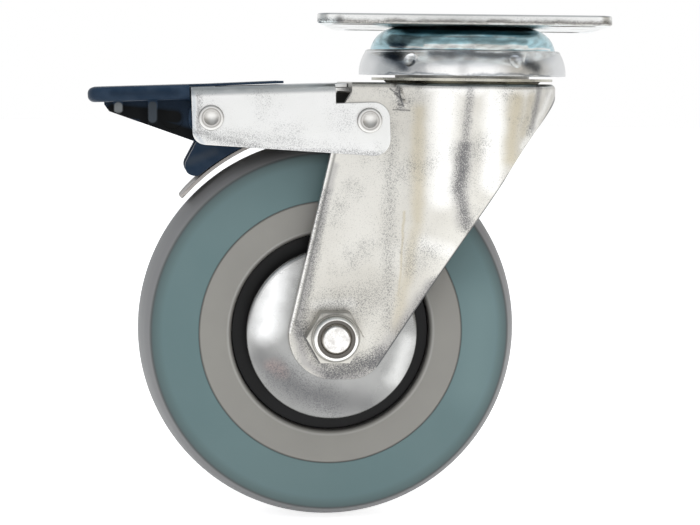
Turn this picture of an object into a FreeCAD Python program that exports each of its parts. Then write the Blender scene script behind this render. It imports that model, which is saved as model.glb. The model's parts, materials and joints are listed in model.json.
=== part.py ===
import FreeCAD, Part
import os
import re
import Sketcher

# Braked swivel castor with a 100 mm wheel.
#
# Frame: millimetres, +Z up, origin at the centre of the top plate's upper face, on the
# swivel axis. The fork stands turned about Z by swivel_rest_angle, and everything that
# the fork carries is drawn square to the fork and turned with it by its Placement.
# In the fork's own frame the wheel trails towards -X and the axle lies along Y.

sizes = {
    # pose
    "swivel_rest_angle": 9.0,
    # top plate
    "plate_width": 73.0,
    "plate_length": 77.0,
    "plate_thickness": 2.5,
    "plate_corner": 4.0,
    "plate_edge_round": 0.5,
    "slot_row_width": 54.0,
    "slot_row_length": 60.0,
    "slot_width": 8.5,
    "slot_length": 12.0,
    # kingpin
    "kingpin_diameter": 12.0,
    "kingpin_head_diameter": 17.0,
    "kingpin_foot_diameter": 18.0,
    "kingpin_foot_height": 3.2,
    "kingpin_fit": 0.02,
    # upper race cup, a pressed inverted cup under the plate
    "cup_radius": 24.6,
    "cup_depth": 9.6,
    "cup_round": 7.2,
    "cup_sheet": 1.6,
    # ring staked round the cup's rim
    "ring_drop": 5.9,
    "ring_fit": 0.02,
    "ring_top_radius": 25.9,
    "ring_bottom_radius": 27.4,
    "ring_height": 6.6,
    "ring_sheet": 0.9,
    "ring_round": 0.7,
    "ring_swell": 10.5,
    "stake_count": 6,
    "stake_radius": 3.4,
    "stake_depth": 0.5,
    "stake_drop": 1.9,
    # balls and races
    "upper_ball": 6.0,
    "upper_ball_count": 16,
    "lower_ball": 5.0,
    "lower_ball_count": 12,
    "race_gap": 0.05,
    "lower_cup_lip": 1.3,
    "lower_cup_floor": 2.2,
    "lower_cup_headroom": 1.2,
    # dust washer on the crown
    "washer_radius": 24.0,
    "washer_sheet": 0.7,
    "washer_lift": 0.6,
    "washer_bore_gap": 1.1,
    # fork
    "crown_drop": 17.0,
    "crown_radius": 24.8,
    "crown_blend": 8.0,
    "crown_hole_radius": 9.0,
    "fork_sheet": 2.5,
    "fork_gap": 33.0,
    "bend_round": 1.4,
    "boss_round": 2.5,
    "boss_foot_round": 0.9,
    "taper_drop": 76.0,
    "swivel_offset": 35.5,
    "axle_drop": 82.0,
    "leg_lean": 12.7,
    "leg_boss_radius": 11.5,
    "deck_setback": 1.1,
    "neck_drop": 6.5,
    "heel_reach": 4.6,
    "heel_radius": 9.0,
    "rear_slope": 56.7,
    "rear_straight_drop": 42.0,
    "rear_wall_drop": 20.5,
    "rear_cut_radius": 95.0,
    # axle
    "axle_diameter": 8.0,
    "axle_fit": 0.1,
    "hex_across_flats": 13.0,
    "bolt_head_height": 5.3,
    "bolt_end_chamfer": 0.8,
    "bolt_end_reach": 0.4,
    "nut_hex_height": 5.6,
    "nut_height": 8.0,
    "nut_collar_radius": 5.75,
    "nut_collar_wall": 0.9,
    "nut_ring_sink": 0.5,
    "hex_crown_radius": 6.1,
    "hex_crown_drop": 1.6,
    "sleeve_diameter": 12.0,
    "guard_radius": 22.3,
    "guard_sheet": 0.8,
    "guard_rim": 1.6,
    "guard_round": 1.2,
    # wheel
    "wheel_radius": 50.0,
    "shoulder_radius": 48.3,
    "shoulder_half_width": 9.6,
    "tyre_edge_radius": 46.9,
    "tyre_edge_half_width": 12.1,
    "tyre_edge_curve": 3.2,
    "tyre_side_half_width": 13.4,
    "rim_joint_radius": 34.2,
    "rim_bed_radius": 38.0,
    "rim_bed_half_width": 7.5,
    "rim_lip_radius": 25.9,
    "rim_lip_round": 1.5,
    "rim_web_half_width": 3.5,
    "hub_radius": 13.0,
    "hub_half_width": 8.6,
    "bush_flange_sheet": 1.8,
    "bush_flange_gap": 0.15,
    "bush_radius": 9.0,
    "bush_side_gap": 0.4,
    "wheel_fit": 0.05,
    # brake housing and its rivets
    "rear_rivet_reach": 27.0,
    "pivot_below_crown": 9.4,
    "brake_tilt": 2.3,
    "rivet_spacing": 40.25,
    "rear_rivet_step": 1.9,
    "rivet_radius": 2.4,
    "rivet_fit": 0.05,
    "rivet_head_radius": 3.2,
    "rivet_head_height": 1.1,
    "rivet_dish_radius": 1.9,
    "rivet_dish_depth": 0.9,
    "housing_sheet": 1.2,
    "housing_fit": 0.05,
    "housing_bend": 2.4,
    "web_height": 7.75,
    "web_front": 4.85,
    "web_end_gap": 3.9,
    "housing_front_foot": 4.8,
    "housing_front_drop": 6.5,
    "housing_rear_margin": 5.35,
    "housing_rear_drop": 11.4,
    "ear_height": 2.75,
    "ear_round": 4.3,
    "front_corner": 3.4,
    "notch_reach": 2.5,
    "notch_gap": 1.0,
    "tongue_width": 20.0,
    "tongue_gap": 0.15,
    # pedal
    "pad_reach": 30.8,
    "pad_inner_gap": 0.3,
    "pad_thickness": 3.8,
    "pad_width": 38.0,
    "pad_corner": 5.0,
    "pad_rim_round": 1.6,
    "blade_reach": 19.0,
    "blade_thickness": 0.6,
    "blade_width": 30.0,
    "blade_gap": 0.15,
    "blade_root": 2.0,
    "blade_rise": 0.25,
    "gusset_reach": 26.8,
    "gusset_foot_reach": 2.2,
    "gusset_foot_drop": 6.9,
    "gusset_nose_height": 2.2,
    "gusset_nose_cut": 1.2,
    "gusset_nose_rise": 1.8,
    "gusset_spread": 19.0,
    "gusset_wall": 2.2,
    "rib_width": 2.4,
    "rib_span": 33.0,
    "front_rib_reach": 23.2,
    "rear_rib_reach": 14.5,
    "rib_inset": 0.4,
    "join_depth": 0.3,
    "recess_reach": 9.5,
    "recess_radius": 3.0,
    "recess_depth": 0.5,
    "hub_barrel_radius": 5.6,
    "hub_side_gap": 0.25,
    "shoe_angle": 40.3,
    "shoe_back_angle": 26.0,
    "shoe_tip_turn": 2.0,
    "shoe_tip_radius": 3.0,
    "shoe_thickness": 5.0,
    "shoe_spread": 18.0,
    "shoe_wall": 4.6,
    "shoe_gap": 0.6,
    # brake leaf
    "leaf_gap": 1.6,
    "leaf_sheet": 0.9,
    "leaf_width": 16.0,
    "leaf_tip_angle": 48.5,
    "leaf_tip_corner": 3.0,
}

doc = FreeCAD.newDocument("swivel_castor")
sheet = doc.addObject("Spreadsheet::Sheet", "Sheet")
for row, (alias, number) in enumerate(sizes.items(), start=1):
    sheet.set("A%d" % row, alias)
    sheet.set("B%d" % row, repr(number))
    sheet.setAlias("B%d" % row, alias)
doc.recompute()


# ---------------------------------------------------------------- helpers

def cells(text):
    """The same formula with every size name pointing at its cell."""
    return re.sub(r"[a-z]\w*", lambda m: "Sheet." + m[0] if m[0] in sizes else m[0], text)


def number(text):
    """The present value of a formula of sizes."""
    result = sheet.evalExpression(text)
    return float(getattr(result, "Value", result))


def bind(item, path, text):
    item.setExpression(path, cells(text))


def new_body(label, compound=False):
    body = doc.addObject("PartDesign::Body", label)
    body.Label = label
    body.AllowCompound = compound
    return body


def origin_part(body, role):
    return [part for part in body.Origin.OriginFeatures if part.Role == role][0]


def turn_with_fork(body, along="0", up="0"):
    """Stand a piece in the fork's frame, its own origin at (along, up) in the fork's XZ plane."""
    bind(body, "Placement.Base.x", "(%s) * cos(swivel_rest_angle)" % along)
    bind(body, "Placement.Base.y", "(%s) * sin(swivel_rest_angle)" % along)
    bind(body, "Placement.Base.z", up)
    bind(body, "Placement.Rotation.Angle", "swivel_rest_angle")


def new_sketch(body, name, plane, right="0", up="0", out="0", turn="0"):
    """A sketch on one of the body's origin planes, moved in that plane and out along its normal."""
    sketch = body.newObject("Sketcher::SketchObject", name)
    sketch.AttachmentSupport = [(origin_part(body, plane), "")]
    sketch.MapMode = "FlatFace"
    bind(sketch, "AttachmentOffset.Base.x", right)
    bind(sketch, "AttachmentOffset.Base.y", up)
    bind(sketch, "AttachmentOffset.Base.z", out)
    bind(sketch, "AttachmentOffset.Rotation.Angle", turn)
    return sketch


def hold_point(sketch, item, end, x, y):
    """Tie a point of the sketch to two formulas."""
    for kind, text, axis in (("DistanceX", x, -2), ("DistanceY", y, -1)):
        if text == "0":
            sketch.addConstraint(Sketcher.Constraint("PointOnObject", item, end, axis))
            continue
        held = sketch.addConstraint(Sketcher.Constraint(kind, -1, 1, item, end, number(text)))
        bind(sketch, "Constraints[%d]" % held, text)


def hold_radius(sketch, item, text):
    held = sketch.addConstraint(Sketcher.Constraint("Radius", item, number(text)))
    bind(sketch, "Constraints[%d]" % held, text)


def outline(sketch, steps):
    """A closed outline. A step is (x, y) for a corner, or (x, y, radius, hand) where an arc
    arrives: hand is "left" where its centre lies left of the way there, else "right"."""
    spots = [FreeCAD.Vector(number(step[0]), number(step[1]), 0) for step in steps]
    first = None
    last = None
    for index, step in enumerate(steps):
        begin, end = spots[index - 1], spots[index]
        if len(step) == 2:
            item = sketch.addGeometry(Part.LineSegment(begin, end))
            ends = (1, 2)
        else:
            radius = number(step[2])
            chord = end - begin
            side = FreeCAD.Vector(-chord.y, chord.x, 0).normalize()
            if step[3] == "right":
                side = side * -1
            depth = max(radius ** 2 - (chord.Length / 2) ** 2, 0) ** 0.5
            centre = (begin + end) * 0.5 + side * depth
            circle = Part.Circle(centre, FreeCAD.Vector(0, 0, 1), radius)
            ends = (1, 2) if step[3] == "left" else (2, 1)
            start, stop = (begin, end) if step[3] == "left" else (end, begin)
            arc = Part.ArcOfCircle(circle, circle.parameter(start), circle.parameter(stop))
            item = sketch.addGeometry(arc)
        if last is None:
            first = (item, ends[0])
        else:
            sketch.addConstraint(Sketcher.Constraint("Coincident", last[0], last[1], item, ends[0]))
        last = (item, ends[1])
        hold_point(sketch, item, ends[1], step[0], step[1])
        if len(step) > 2:
            hold_radius(sketch, item, step[2])
    sketch.addConstraint(Sketcher.Constraint("Coincident", last[0], last[1], first[0], first[1]))
    return sketch


def circle_in(sketch, x, y, radius):
    centre = FreeCAD.Vector(number(x), number(y), 0)
    item = sketch.addGeometry(Part.Circle(centre, FreeCAD.Vector(0, 0, 1), number(radius)))
    hold_point(sketch, item, 3, x, y)
    hold_radius(sketch, item, radius)
    return sketch


def hexagon_in(sketch, across):
    """A hexagon round the sketch's origin, two of its flats level."""
    corner = "(%s) / sqrt(3)" % across
    half = "(%s) / 2" % across
    steps = [(corner, "0"), (corner + " / 2", half), ("-%s / 2" % corner, half)]
    steps += [("-" + corner, "0"), ("-%s / 2" % corner, "-" + half), (corner + " / 2", "-" + half)]
    return outline(sketch, steps)


def shape_feature(body, kind, name, sketch):
    feature = body.newObject("PartDesign::" + kind, name)
    feature.Profile = sketch
    return feature


def pad(body, name, sketch, length, side="Symmetric", reverse=False):
    feature = shape_feature(body, "Pad", name, sketch)
    feature.SideType = side
    feature.Reversed = reverse
    bind(feature, "Length", length)
    return feature


def pocket(body, name, sketch, length, side="Symmetric", reverse=False):
    feature = shape_feature(body, "Pocket", name, sketch)
    feature.SideType = side
    feature.Reversed = reverse
    bind(feature, "Length", length)
    return feature


def turned(body, name, sketch, cut=False):
    """Turn a section about the sketch's upright axis, adding or cutting."""
    feature = shape_feature(body, "Groove" if cut else "Revolution", name, sketch)
    feature.ReferenceAxis = (sketch, ["V_Axis"])
    feature.Angle = 360
    return feature


def loft(body, name, first, second, cut=False):
    feature = shape_feature(body, "SubtractiveLoft" if cut else "AdditiveLoft", name, first)
    feature.Sections = [second]
    feature.Ruled = True
    return feature


def edges_near(shape, spots, reach=0.02):
    """Names of the edges that pass through any of the given points."""
    found = []
    for index, edge in enumerate(shape.Edges, start=1):
        for spot in spots:
            if edge.distToShape(Part.Vertex(*spot))[0] < reach:
                found.append("Edge%d" % index)
                break
    return found


def dress(body, kind, name, base, edges, size):
    """A fillet or chamfer on named edges of the last feature."""
    feature = body.newObject("PartDesign::" + kind, name)
    feature.Base = (base, edges)
    bind(feature, "Radius" if kind == "Fillet" else "Size", size)
    return feature


# ---------------------------------------------------------------- shared places

plateUnder = "-plate_thickness"
cupFoot = "-(plate_thickness + cup_depth)"
pinBore = "(kingpin_diameter / 2 + kingpin_fit)"

# The upper balls sit in the cup's rounded corner, the lower ones in the crown boss.
upperSeat = "(cup_round - cup_sheet - upper_ball / 2 - race_gap) * 0.5^0.5"
upperRow = "(cup_radius - cup_round + %s)" % upperSeat
upperLevel = "(-plate_thickness - cup_round + %s)" % upperSeat
bossReach = "(upper_ball / 2 + race_gap + boss_round) * 0.5^0.5"
bossRadius = "(%s - %s + boss_round)" % (upperRow, bossReach)
bossTop = "(%s - %s + boss_round)" % (upperLevel, bossReach)
bossInside = "(%s - fork_sheet)" % bossRadius
bossCeiling = "(%s - fork_sheet)" % bossTop
lowerGroove = "(lower_ball / 2 + race_gap)"
lowerRow = "(%s - %s)" % (bossInside, lowerGroove)
lowerLevel = "(%s - %s)" % (bossCeiling, lowerGroove)
lowerCupFoot = "(%s - %s - lower_cup_floor)" % (lowerLevel, lowerGroove)

# Half widths across the fork, from the wheel outwards.
legInside = "fork_gap / 2"
legOutside = "(fork_gap / 2 + fork_sheet)"
housingInside = "(%s + housing_fit)" % legOutside
housingOutside = "(%s + housing_sheet)" % housingInside

# Places in the fork's XZ plane.
axleX = "-swivel_offset"
axleZ = "-axle_drop"
pivotReach = "(rear_rivet_reach + rivet_spacing * cos(brake_tilt) + rear_rivet_step * sin(brake_tilt))"
pivotX = "-" + pivotReach
pivotZ = "-(crown_drop + pivot_below_crown)"
rearX = "(-rear_rivet_reach)"
padInner = "(-web_front - pad_inner_gap)"
rearZ = "(%s + rivet_spacing * sin(brake_tilt) - rear_rivet_step * cos(brake_tilt))" % pivotZ


# The fork's front edge leans back from the axle boss; its place at a level of that plane.
bossFrontX = "(-swivel_offset - leg_boss_radius * cos(leg_lean))"
bossFrontZ = "(-axle_drop + leg_boss_radius * sin(leg_lean))"


def front_edge(level):
    return "(%s + (%s - %s) * tan(leg_lean))" % (bossFrontX, level, bossFrontZ)


deckFront = "(%s + deck_setback)" % front_edge("-crown_drop")


# ---------------------------------------------------------------- top plate

def make_top_plate():
    body = new_body("top_plate")
    half_x = "plate_width / 2"
    half_y = "plate_length / 2"
    blank = new_sketch(body, "plate_outline", "XY_Plane")
    corners = [("-" + half_x, "-" + half_y), (half_x, "-" + half_y)]
    corners += [(half_x, half_y), ("-" + half_x, half_y)]
    outline(blank, corners)
    slab = pad(body, "plate_slab", blank, "plate_thickness", "One side", True)
    doc.recompute()
    x, y, z = number(half_x), number(half_y), -number("plate_thickness") / 2
    spots = [(sx * x, sy * y, z) for sx in (-1, 1) for sy in (-1, 1)]
    rounded = dress(body, "Fillet", "plate_corners", slab, edges_near(slab.Shape, spots), "plate_corner")
    doc.recompute()
    rims = [(0, -y, 0), (0, -y, 2 * z)]
    dress(body, "Fillet", "plate_edges", rounded, edges_near(rounded.Shape, rims), "plate_edge_round")

    slot = new_sketch(body, "slot_outline", "XY_Plane", "-slot_row_width / 2", "-slot_row_length / 2")
    side = "slot_width / 2"
    run = "(slot_length - slot_width) / 2"
    outline(slot, [(run, "-" + side), ("slot_length / 2", "0", side, "left"), (run, side, side, "left"),
                   ("-" + run, side), ("-slot_length / 2", "0", side, "left"),
                   ("-" + run, "-" + side, side, "left")])
    hole = pocket(body, "slot", slot, "plate_thickness * 3")
    rows = body.newObject("PartDesign::MultiTransform", "slot_rows")
    rows.Originals = [hole]
    steps = []
    for axis, span in (("H_Axis", "slot_row_width"), ("V_Axis", "slot_row_length")):
        step = doc.addObject("PartDesign::LinearPattern", "slots_along_" + axis[0].lower())
        step.Direction = (slot, [axis])
        step.Occurrences = 2
        bind(step, "Length", span)
        steps.append(step)
    rows.Transformations = steps
    body.Tip = rows

    sink = new_sketch(body, "pin_hole_section", "XZ_Plane")
    head = "(kingpin_head_diameter / 2 + kingpin_fit)"
    outline(sink, [("0", "0"), (head, "0"), (pinBore, plateUnder), ("0", plateUnder)])
    turned(body, "pin_hole", sink, cut=True)
    return body


# ---------------------------------------------------------------- swivel head

def make_kingpin():
    body = new_body("kingpin")
    shank = "kingpin_diameter / 2"
    foot = "kingpin_foot_diameter / 2"
    section = new_sketch(body, "kingpin_section", "XZ_Plane")
    outline(section, [
        ("0", "0"),
        ("0", "%s - kingpin_foot_height" % lowerCupFoot),
        ("kingpin_foot_diameter / 4", "%s - kingpin_foot_height" % lowerCupFoot),
        (foot, "%s - kingpin_foot_height / 2" % lowerCupFoot, "kingpin_foot_diameter / 3", "left"),
        (foot, lowerCupFoot),
        (shank, lowerCupFoot),
        (shank, plateUnder),
        ("kingpin_head_diameter / 2", "0"),
    ])
    turned(body, "kingpin_turned", section)
    return body


def make_upper_race_cup():
    body = new_body("upper_race_cup")
    corner = "(cup_radius - cup_round)"
    level = "(-plate_thickness - cup_round)"
    inside = "(cup_radius - cup_sheet)"
    ceiling = "(-plate_thickness - cup_sheet)"
    section = new_sketch(body, "cup_section", "XZ_Plane")
    outline(section, [
        (pinBore, plateUnder),
        (pinBore, ceiling),
        (corner, ceiling),
        (inside, level, "cup_round - cup_sheet", "right"),
        (inside, cupFoot),
        ("cup_radius", cupFoot),
        ("cup_radius", level),
        (corner, plateUnder, "cup_round", "left"),
    ])
    turned(body, "cup_turned", section)
    return body


def make_dust_ring():
    """A swelling skirt whose lip is pressed down over the cup's shoulder."""
    body = new_body("dust_ring")
    top = "-(plate_thickness + ring_drop)"
    foot = "(%s - ring_height)" % top
    shoulder = "sqrt(cup_round^2 - (cup_round - ring_drop - ring_sheet)^2)"
    lip = "(cup_radius - cup_round + %s + ring_fit)" % shoulder
    section = new_sketch(body, "ring_section", "XZ_Plane")
    outline(section, [
        (lip, top),
        (lip, "%s - ring_sheet" % top),
        ("ring_top_radius - ring_sheet", "%s - ring_sheet" % top),
        ("ring_bottom_radius - ring_sheet", foot, "ring_swell - ring_sheet", "right"),
        ("ring_bottom_radius", foot),
        ("ring_top_radius", "%s - ring_round" % top, "ring_swell", "left"),
        ("ring_top_radius - ring_round", top, "ring_round", "left"),
    ])
    turned(body, "ring_turned", section)
    stake = body.newObject("PartDesign::SubtractiveSphere", "stake_dimple")
    stake.AttachmentSupport = [(origin_part(body, "XY_Plane"), "")]
    stake.MapMode = "FlatFace"
    bind(stake, "Radius", "stake_radius")
    # Out from the skirt's upper part by its own radius less the dimple's depth.
    out = "(ring_top_radius * 0.7 + ring_bottom_radius * 0.3 + ring_sheet / 4 + stake_radius - stake_depth)"
    bind(stake, "AttachmentOffset.Base.x", out + " * cos(-60)")
    bind(stake, "AttachmentOffset.Base.y", out + " * sin(-60)")
    bind(stake, "AttachmentOffset.Base.z", "%s - stake_drop" % top)
    ring = body.newObject("PartDesign::PolarPattern", "stake_dimples")
    ring.Originals = [stake]
    ring.Axis = (origin_part(body, "Z_Axis"), [""])
    bind(ring, "Occurrences", "stake_count")
    body.Tip = ring
    return body


def make_lower_race_cup():
    body = new_body("lower_race_cup")
    groove = lowerGroove
    top = "(%s - lower_cup_headroom)" % bossCeiling
    floor = "(%s - %s)" % (lowerLevel, groove)
    section = new_sketch(body, "lower_cup_section", "XZ_Plane")
    outline(section, [
        (pinBore, top),
        (pinBore, lowerCupFoot),
        ("%s + lower_cup_lip" % lowerRow, lowerCupFoot),
        ("%s + lower_cup_lip" % lowerRow, floor),
        (lowerRow, floor),
        ("%s - %s" % (lowerRow, groove), lowerLevel, groove, "right"),
        ("%s - %s" % (lowerRow, groove), top),
    ])
    turned(body, "lower_cup_turned", section)
    return body


def make_ball_row(label, diameter, row, level, count):
    body = new_body(label, compound=True)
    ball = body.newObject("PartDesign::AdditiveSphere", label + "_first")
    ball.AttachmentSupport = [(origin_part(body, "XY_Plane"), "")]
    ball.MapMode = "FlatFace"
    bind(ball, "Radius", diameter + " / 2")
    bind(ball, "AttachmentOffset.Base.x", row)
    bind(ball, "AttachmentOffset.Base.z", level)
    doc.recompute()
    row_of_balls = body.newObject("PartDesign::PolarPattern", label + "_row")
    row_of_balls.Originals = [ball]
    row_of_balls.Axis = (origin_part(body, "Z_Axis"), [""])
    bind(row_of_balls, "Occurrences", count)
    body.Tip = row_of_balls
    turn_with_fork(body)
    return body


def make_dust_washer():
    body = new_body("dust_washer")
    bore = "(%s + washer_bore_gap)" % bossRadius
    seat = "-crown_drop"
    step = "(%s + washer_lift + washer_sheet)" % bore
    outer_step = "(%s + 2 * washer_lift + washer_sheet)" % bore
    section = new_sketch(body, "washer_section", "XZ_Plane")
    outline(section, [
        (bore, seat),
        (step, seat),
        (outer_step, "%s + washer_lift" % seat),
        ("washer_radius", "%s + washer_lift" % seat),
        ("washer_radius", "%s + washer_lift + washer_sheet" % seat),
        ("%s - washer_sheet" % outer_step, "%s + washer_lift + washer_sheet" % seat),
        ("%s - washer_sheet" % step, "%s + washer_sheet" % seat),
        (bore, "%s + washer_sheet" % seat),
    ])
    turned(body, "washer_turned", section)
    turn_with_fork(body)
    return body


# ---------------------------------------------------------------- fork

def crown_outline(sketch, half, radius, blend):
    """The hood's section under the crown: two flat sides that swell into a round back."""
    front = "-(swivel_offset + leg_boss_radius * 2)"
    away = "(crown_radius + crown_blend)"
    blend_x = "sqrt(%s^2 - (%s + crown_blend)^2)" % (away, legOutside)
    blend_y = "(%s + crown_blend)" % legOutside
    join_x = "-%s * %s / %s" % (radius, blend_x, away)
    join_y = "%s * %s / %s" % (radius, blend_y, away)
    return outline(sketch, [
        (front, "-(%s)" % half),
        ("-" + blend_x, "-(%s)" % half),
        (join_x, "-(%s)" % join_y, blend, "right"),
        ("0", "-(%s)" % radius, radius, "left"),
        (radius, "0", radius, "left"),
        ("0", radius, radius, "left"),
        (join_x, join_y, radius, "left"),
        ("-" + blend_x, half, blend, "right"),
        (front, half),
    ])


def leg_outline(sketch, half, radius):
    """The hood's section where the swelling has died away, with one point for each above."""
    front = "-(swivel_offset + leg_boss_radius * 2)"
    away = "(crown_radius + crown_blend)"
    blend_x = "sqrt(%s^2 - (%s + crown_blend)^2)" % (away, legOutside)
    join_x = "-%s * %s / %s" % (radius, blend_x, away)
    shoulder = "(%s - %s)" % (radius, half)
    return outline(sketch, [
        (front, "-(%s)" % half),
        ("-" + blend_x, "-(%s)" % half),
        (join_x, "-(%s)" % half),
        (shoulder, "-(%s)" % half),
        (radius, "0", half, "left"),
        (shoulder, half, half, "left"),
        (join_x, half),
        ("-" + blend_x, half),
        (front, half),
    ])


def make_fork():
    body = new_body("fork")
    crown = "-crown_drop"
    inner = "(crown_radius - fork_sheet)"

    # Outer form of the pressed hood, a ruled loft from the round crown to the flat legs.
    top = crown_outline(new_sketch(body, "hood_top", "XY_Plane", out=crown), legOutside, "crown_radius",
                        "crown_blend")
    foot = leg_outline(new_sketch(body, "hood_foot", "XY_Plane", out="-taper_drop"), legOutside,
                       "crown_radius")
    hood = loft(body, "hood", top, foot)
    doc.recompute()
    z = number(crown)
    half = number(legOutside)
    radius = number("crown_radius")
    spots = [(-number("swivel_offset"), -half, z), (-number("swivel_offset"), half, z)]
    spots += [(0, -radius, z), (0, radius, z), (radius, 0, z)]
    bends = edges_near(hood.Shape, spots)
    dress(body, "Fillet", "hood_bend", hood, bends, "bend_round")

    legs = leg_outline(new_sketch(body, "leg_section", "XY_Plane", out="-taper_drop"), legOutside,
                       "crown_radius")
    pad(body, "legs", legs, "axle_drop + leg_boss_radius * 2 - taper_drop", "One side", True)

    # Hollow of the hood and between the legs.
    hollow_top = crown_outline(new_sketch(body, "hollow_top", "XY_Plane", out="-(crown_drop + fork_sheet)"),
                               legInside, inner, "(crown_blend + fork_sheet)")
    hollow_foot = leg_outline(new_sketch(body, "hollow_foot", "XY_Plane", out="-taper_drop"), legInside,
                              inner)
    loft(body, "hollow", hollow_top, hollow_foot, cut=True)
    gap = leg_outline(new_sketch(body, "gap_section", "XY_Plane", out="-taper_drop"), legInside, inner)
    pocket(body, "leg_gap", gap, "axle_drop + leg_boss_radius * 3 - taper_drop", "One side")

    # Side outline: everything beyond it is trimmed away.
    heel_z = "(-axle_drop - leg_boss_radius + heel_radius)"
    heel_x = "(-swivel_offset + heel_reach)"
    slope_x = "(%s + heel_radius * sin(rear_slope))" % heel_x
    slope_z = "(%s - heel_radius * cos(rear_slope))" % heel_z
    bend_x = "(%s + (-rear_straight_drop - %s) / tan(rear_slope))" % (slope_x, slope_z)
    side = new_sketch(body, "side_outline", "XZ_Plane")
    outline(side, [
        (deckFront, "0"),
        (deckFront, "-(crown_drop + fork_sheet)"),
        (front_edge("-(crown_drop + neck_drop)"), "-(crown_drop + neck_drop)"),
        (bossFrontX, bossFrontZ),
        ("-swivel_offset", "-axle_drop - leg_boss_radius", "leg_boss_radius", "left"),
        (heel_x, "-axle_drop - leg_boss_radius"),
        (slope_x, slope_z, "heel_radius", "left"),
        (bend_x, "-rear_straight_drop"),
        ("crown_radius", "-rear_wall_drop", "rear_cut_radius", "right"),
        ("crown_radius + fork_sheet", "-rear_wall_drop"),
        ("crown_radius + fork_sheet", "0"),
    ])
    far_front = "-(swivel_offset + leg_boss_radius * 3)"
    far_rear = "crown_radius + fork_sheet * 2"
    far_foot = "-(axle_drop + leg_boss_radius * 4)"
    outline(side, [(far_front, "fork_sheet"), (far_front, far_foot), (far_rear, far_foot),
                   (far_rear, "fork_sheet")])
    pocket(body, "side_trim", side, "crown_radius * 4")

    # Race boss drawn up out of the crown, its inner corner formed as the lower balls' race.
    boss = new_sketch(body, "boss_section", "XZ_Plane")
    foot_level = "(%s - fork_sheet / 2)" % crown
    outline(boss, [
        ("crown_hole_radius", bossTop),
        ("crown_hole_radius", foot_level),
        ("%s + boss_foot_round" % bossRadius, foot_level),
        ("%s + boss_foot_round" % bossRadius, crown),
        (bossRadius, "%s + boss_foot_round" % crown, "boss_foot_round", "right"),
        (bossRadius, "%s - boss_round" % bossTop),
        ("%s - boss_round" % bossRadius, bossTop, "boss_round", "left"),
    ])
    turned(body, "race_boss", boss)
    race = new_sketch(body, "race_section", "XZ_Plane")
    outline(race, [
        ("0", bossCeiling),
        ("0", "-(crown_drop + fork_sheet * 2)"),
        (bossInside, "-(crown_drop + fork_sheet * 2)"),
        (bossInside, lowerLevel),
        (lowerRow, bossCeiling, lowerGroove, "left"),
    ])
    turned(body, "race_hollow", race, cut=True)

    holes = new_sketch(body, "leg_holes_outline", "XZ_Plane")
    circle_in(holes, axleX, axleZ, "(axle_diameter + axle_fit) / 2")
    circle_in(holes, rearX, rearZ, "rivet_radius + rivet_fit")
    pocket(body, "leg_holes", holes, "crown_radius * 4")
    turn_with_fork(body)
    return body


# ---------------------------------------------------------------- axle

def make_axle_bolt():
    body = new_body("axle_bolt")
    half = "axle_diameter / 2"
    near = "-(%s + nut_height + bolt_end_reach)" % legOutside
    section = new_sketch(body, "bolt_section", "XY_Plane")
    outline(section, [
        ("0", near),
        (half + " - bolt_end_chamfer", near),
        (half, near + " + bolt_end_chamfer"),
        (half, legOutside),
        ("0", legOutside),
    ])
    turned(body, "bolt_shank", section)
    head = new_sketch(body, "bolt_head_outline", "XZ_Plane", out="-" + legOutside)
    hexagon_in(head, "hex_across_flats")
    pad(body, "bolt_head", head, "bolt_head_height", "One side", True)
    crown_cut(body, "bolt_head_crown", legOutside, "bolt_head_height", 1)
    turn_with_fork(body, axleX, axleZ)
    return body


def crown_cut(body, name, seat, height, way):
    """Chamfer a hexagon's corners by turning a triangle round its outer end."""
    sign = "" if way > 0 else "-"
    end = "%s(%s + %s)" % (sign, seat, height)
    back = "%s(%s + %s - hex_crown_drop)" % (sign, seat, height)
    section = new_sketch(body, name + "_section", "XY_Plane")
    steps = [("hex_crown_radius", end), ("hex_across_flats", end), ("hex_across_flats", back)]
    if way < 0:
        steps = steps[::-1]
    outline(section, steps)
    return turned(body, name, section, cut=True)


def make_axle_nut():
    body = new_body("axle_nut")
    blank = new_sketch(body, "nut_outline", "XZ_Plane", out=legOutside)
    hexagon_in(blank, "hex_across_flats")
    pad(body, "nut_blank", blank, "nut_hex_height", "One side")
    crown_cut(body, "nut_crown", legOutside, "nut_hex_height", -1)
    root = "-(%s + nut_hex_height - nut_collar_wall)" % legOutside
    top = "-(%s + nut_height)" % legOutside
    collar = new_sketch(body, "collar_section", "XY_Plane")
    outline(collar, [
        ("axle_diameter / 2 + kingpin_fit", root),
        ("nut_collar_radius", root),
        ("nut_collar_radius", top + " + nut_collar_wall"),
        ("nut_collar_radius - nut_collar_wall", top, "nut_collar_wall", "right"),
        ("nut_collar_radius - nut_collar_wall", "-(%s + nut_hex_height)" % legOutside),
        ("axle_diameter / 2 + kingpin_fit", "-(%s + nut_hex_height)" % legOutside),
    ])
    turned(body, "nut_collar", collar)
    bore = circle_in(new_sketch(body, "nut_bore_outline", "XZ_Plane", out=legOutside), "0", "0",
                     "axle_diameter / 2 + kingpin_fit")
    pocket(body, "nut_bore", bore, "nut_height * 4")
    turn_with_fork(body, axleX, axleZ)
    return body


def make_ring_about_axle(label, inner, outer, low, high):
    """A plain turned ring about the axle between two levels along it."""
    body = new_body(label)
    section = new_sketch(body, label + "_section", "XY_Plane")
    outline(section, [(inner, low), (outer, low), (outer, high), (inner, high)])
    turned(body, label + "_turned", section)
    turn_with_fork(body, axleX, axleZ)
    return body


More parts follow.
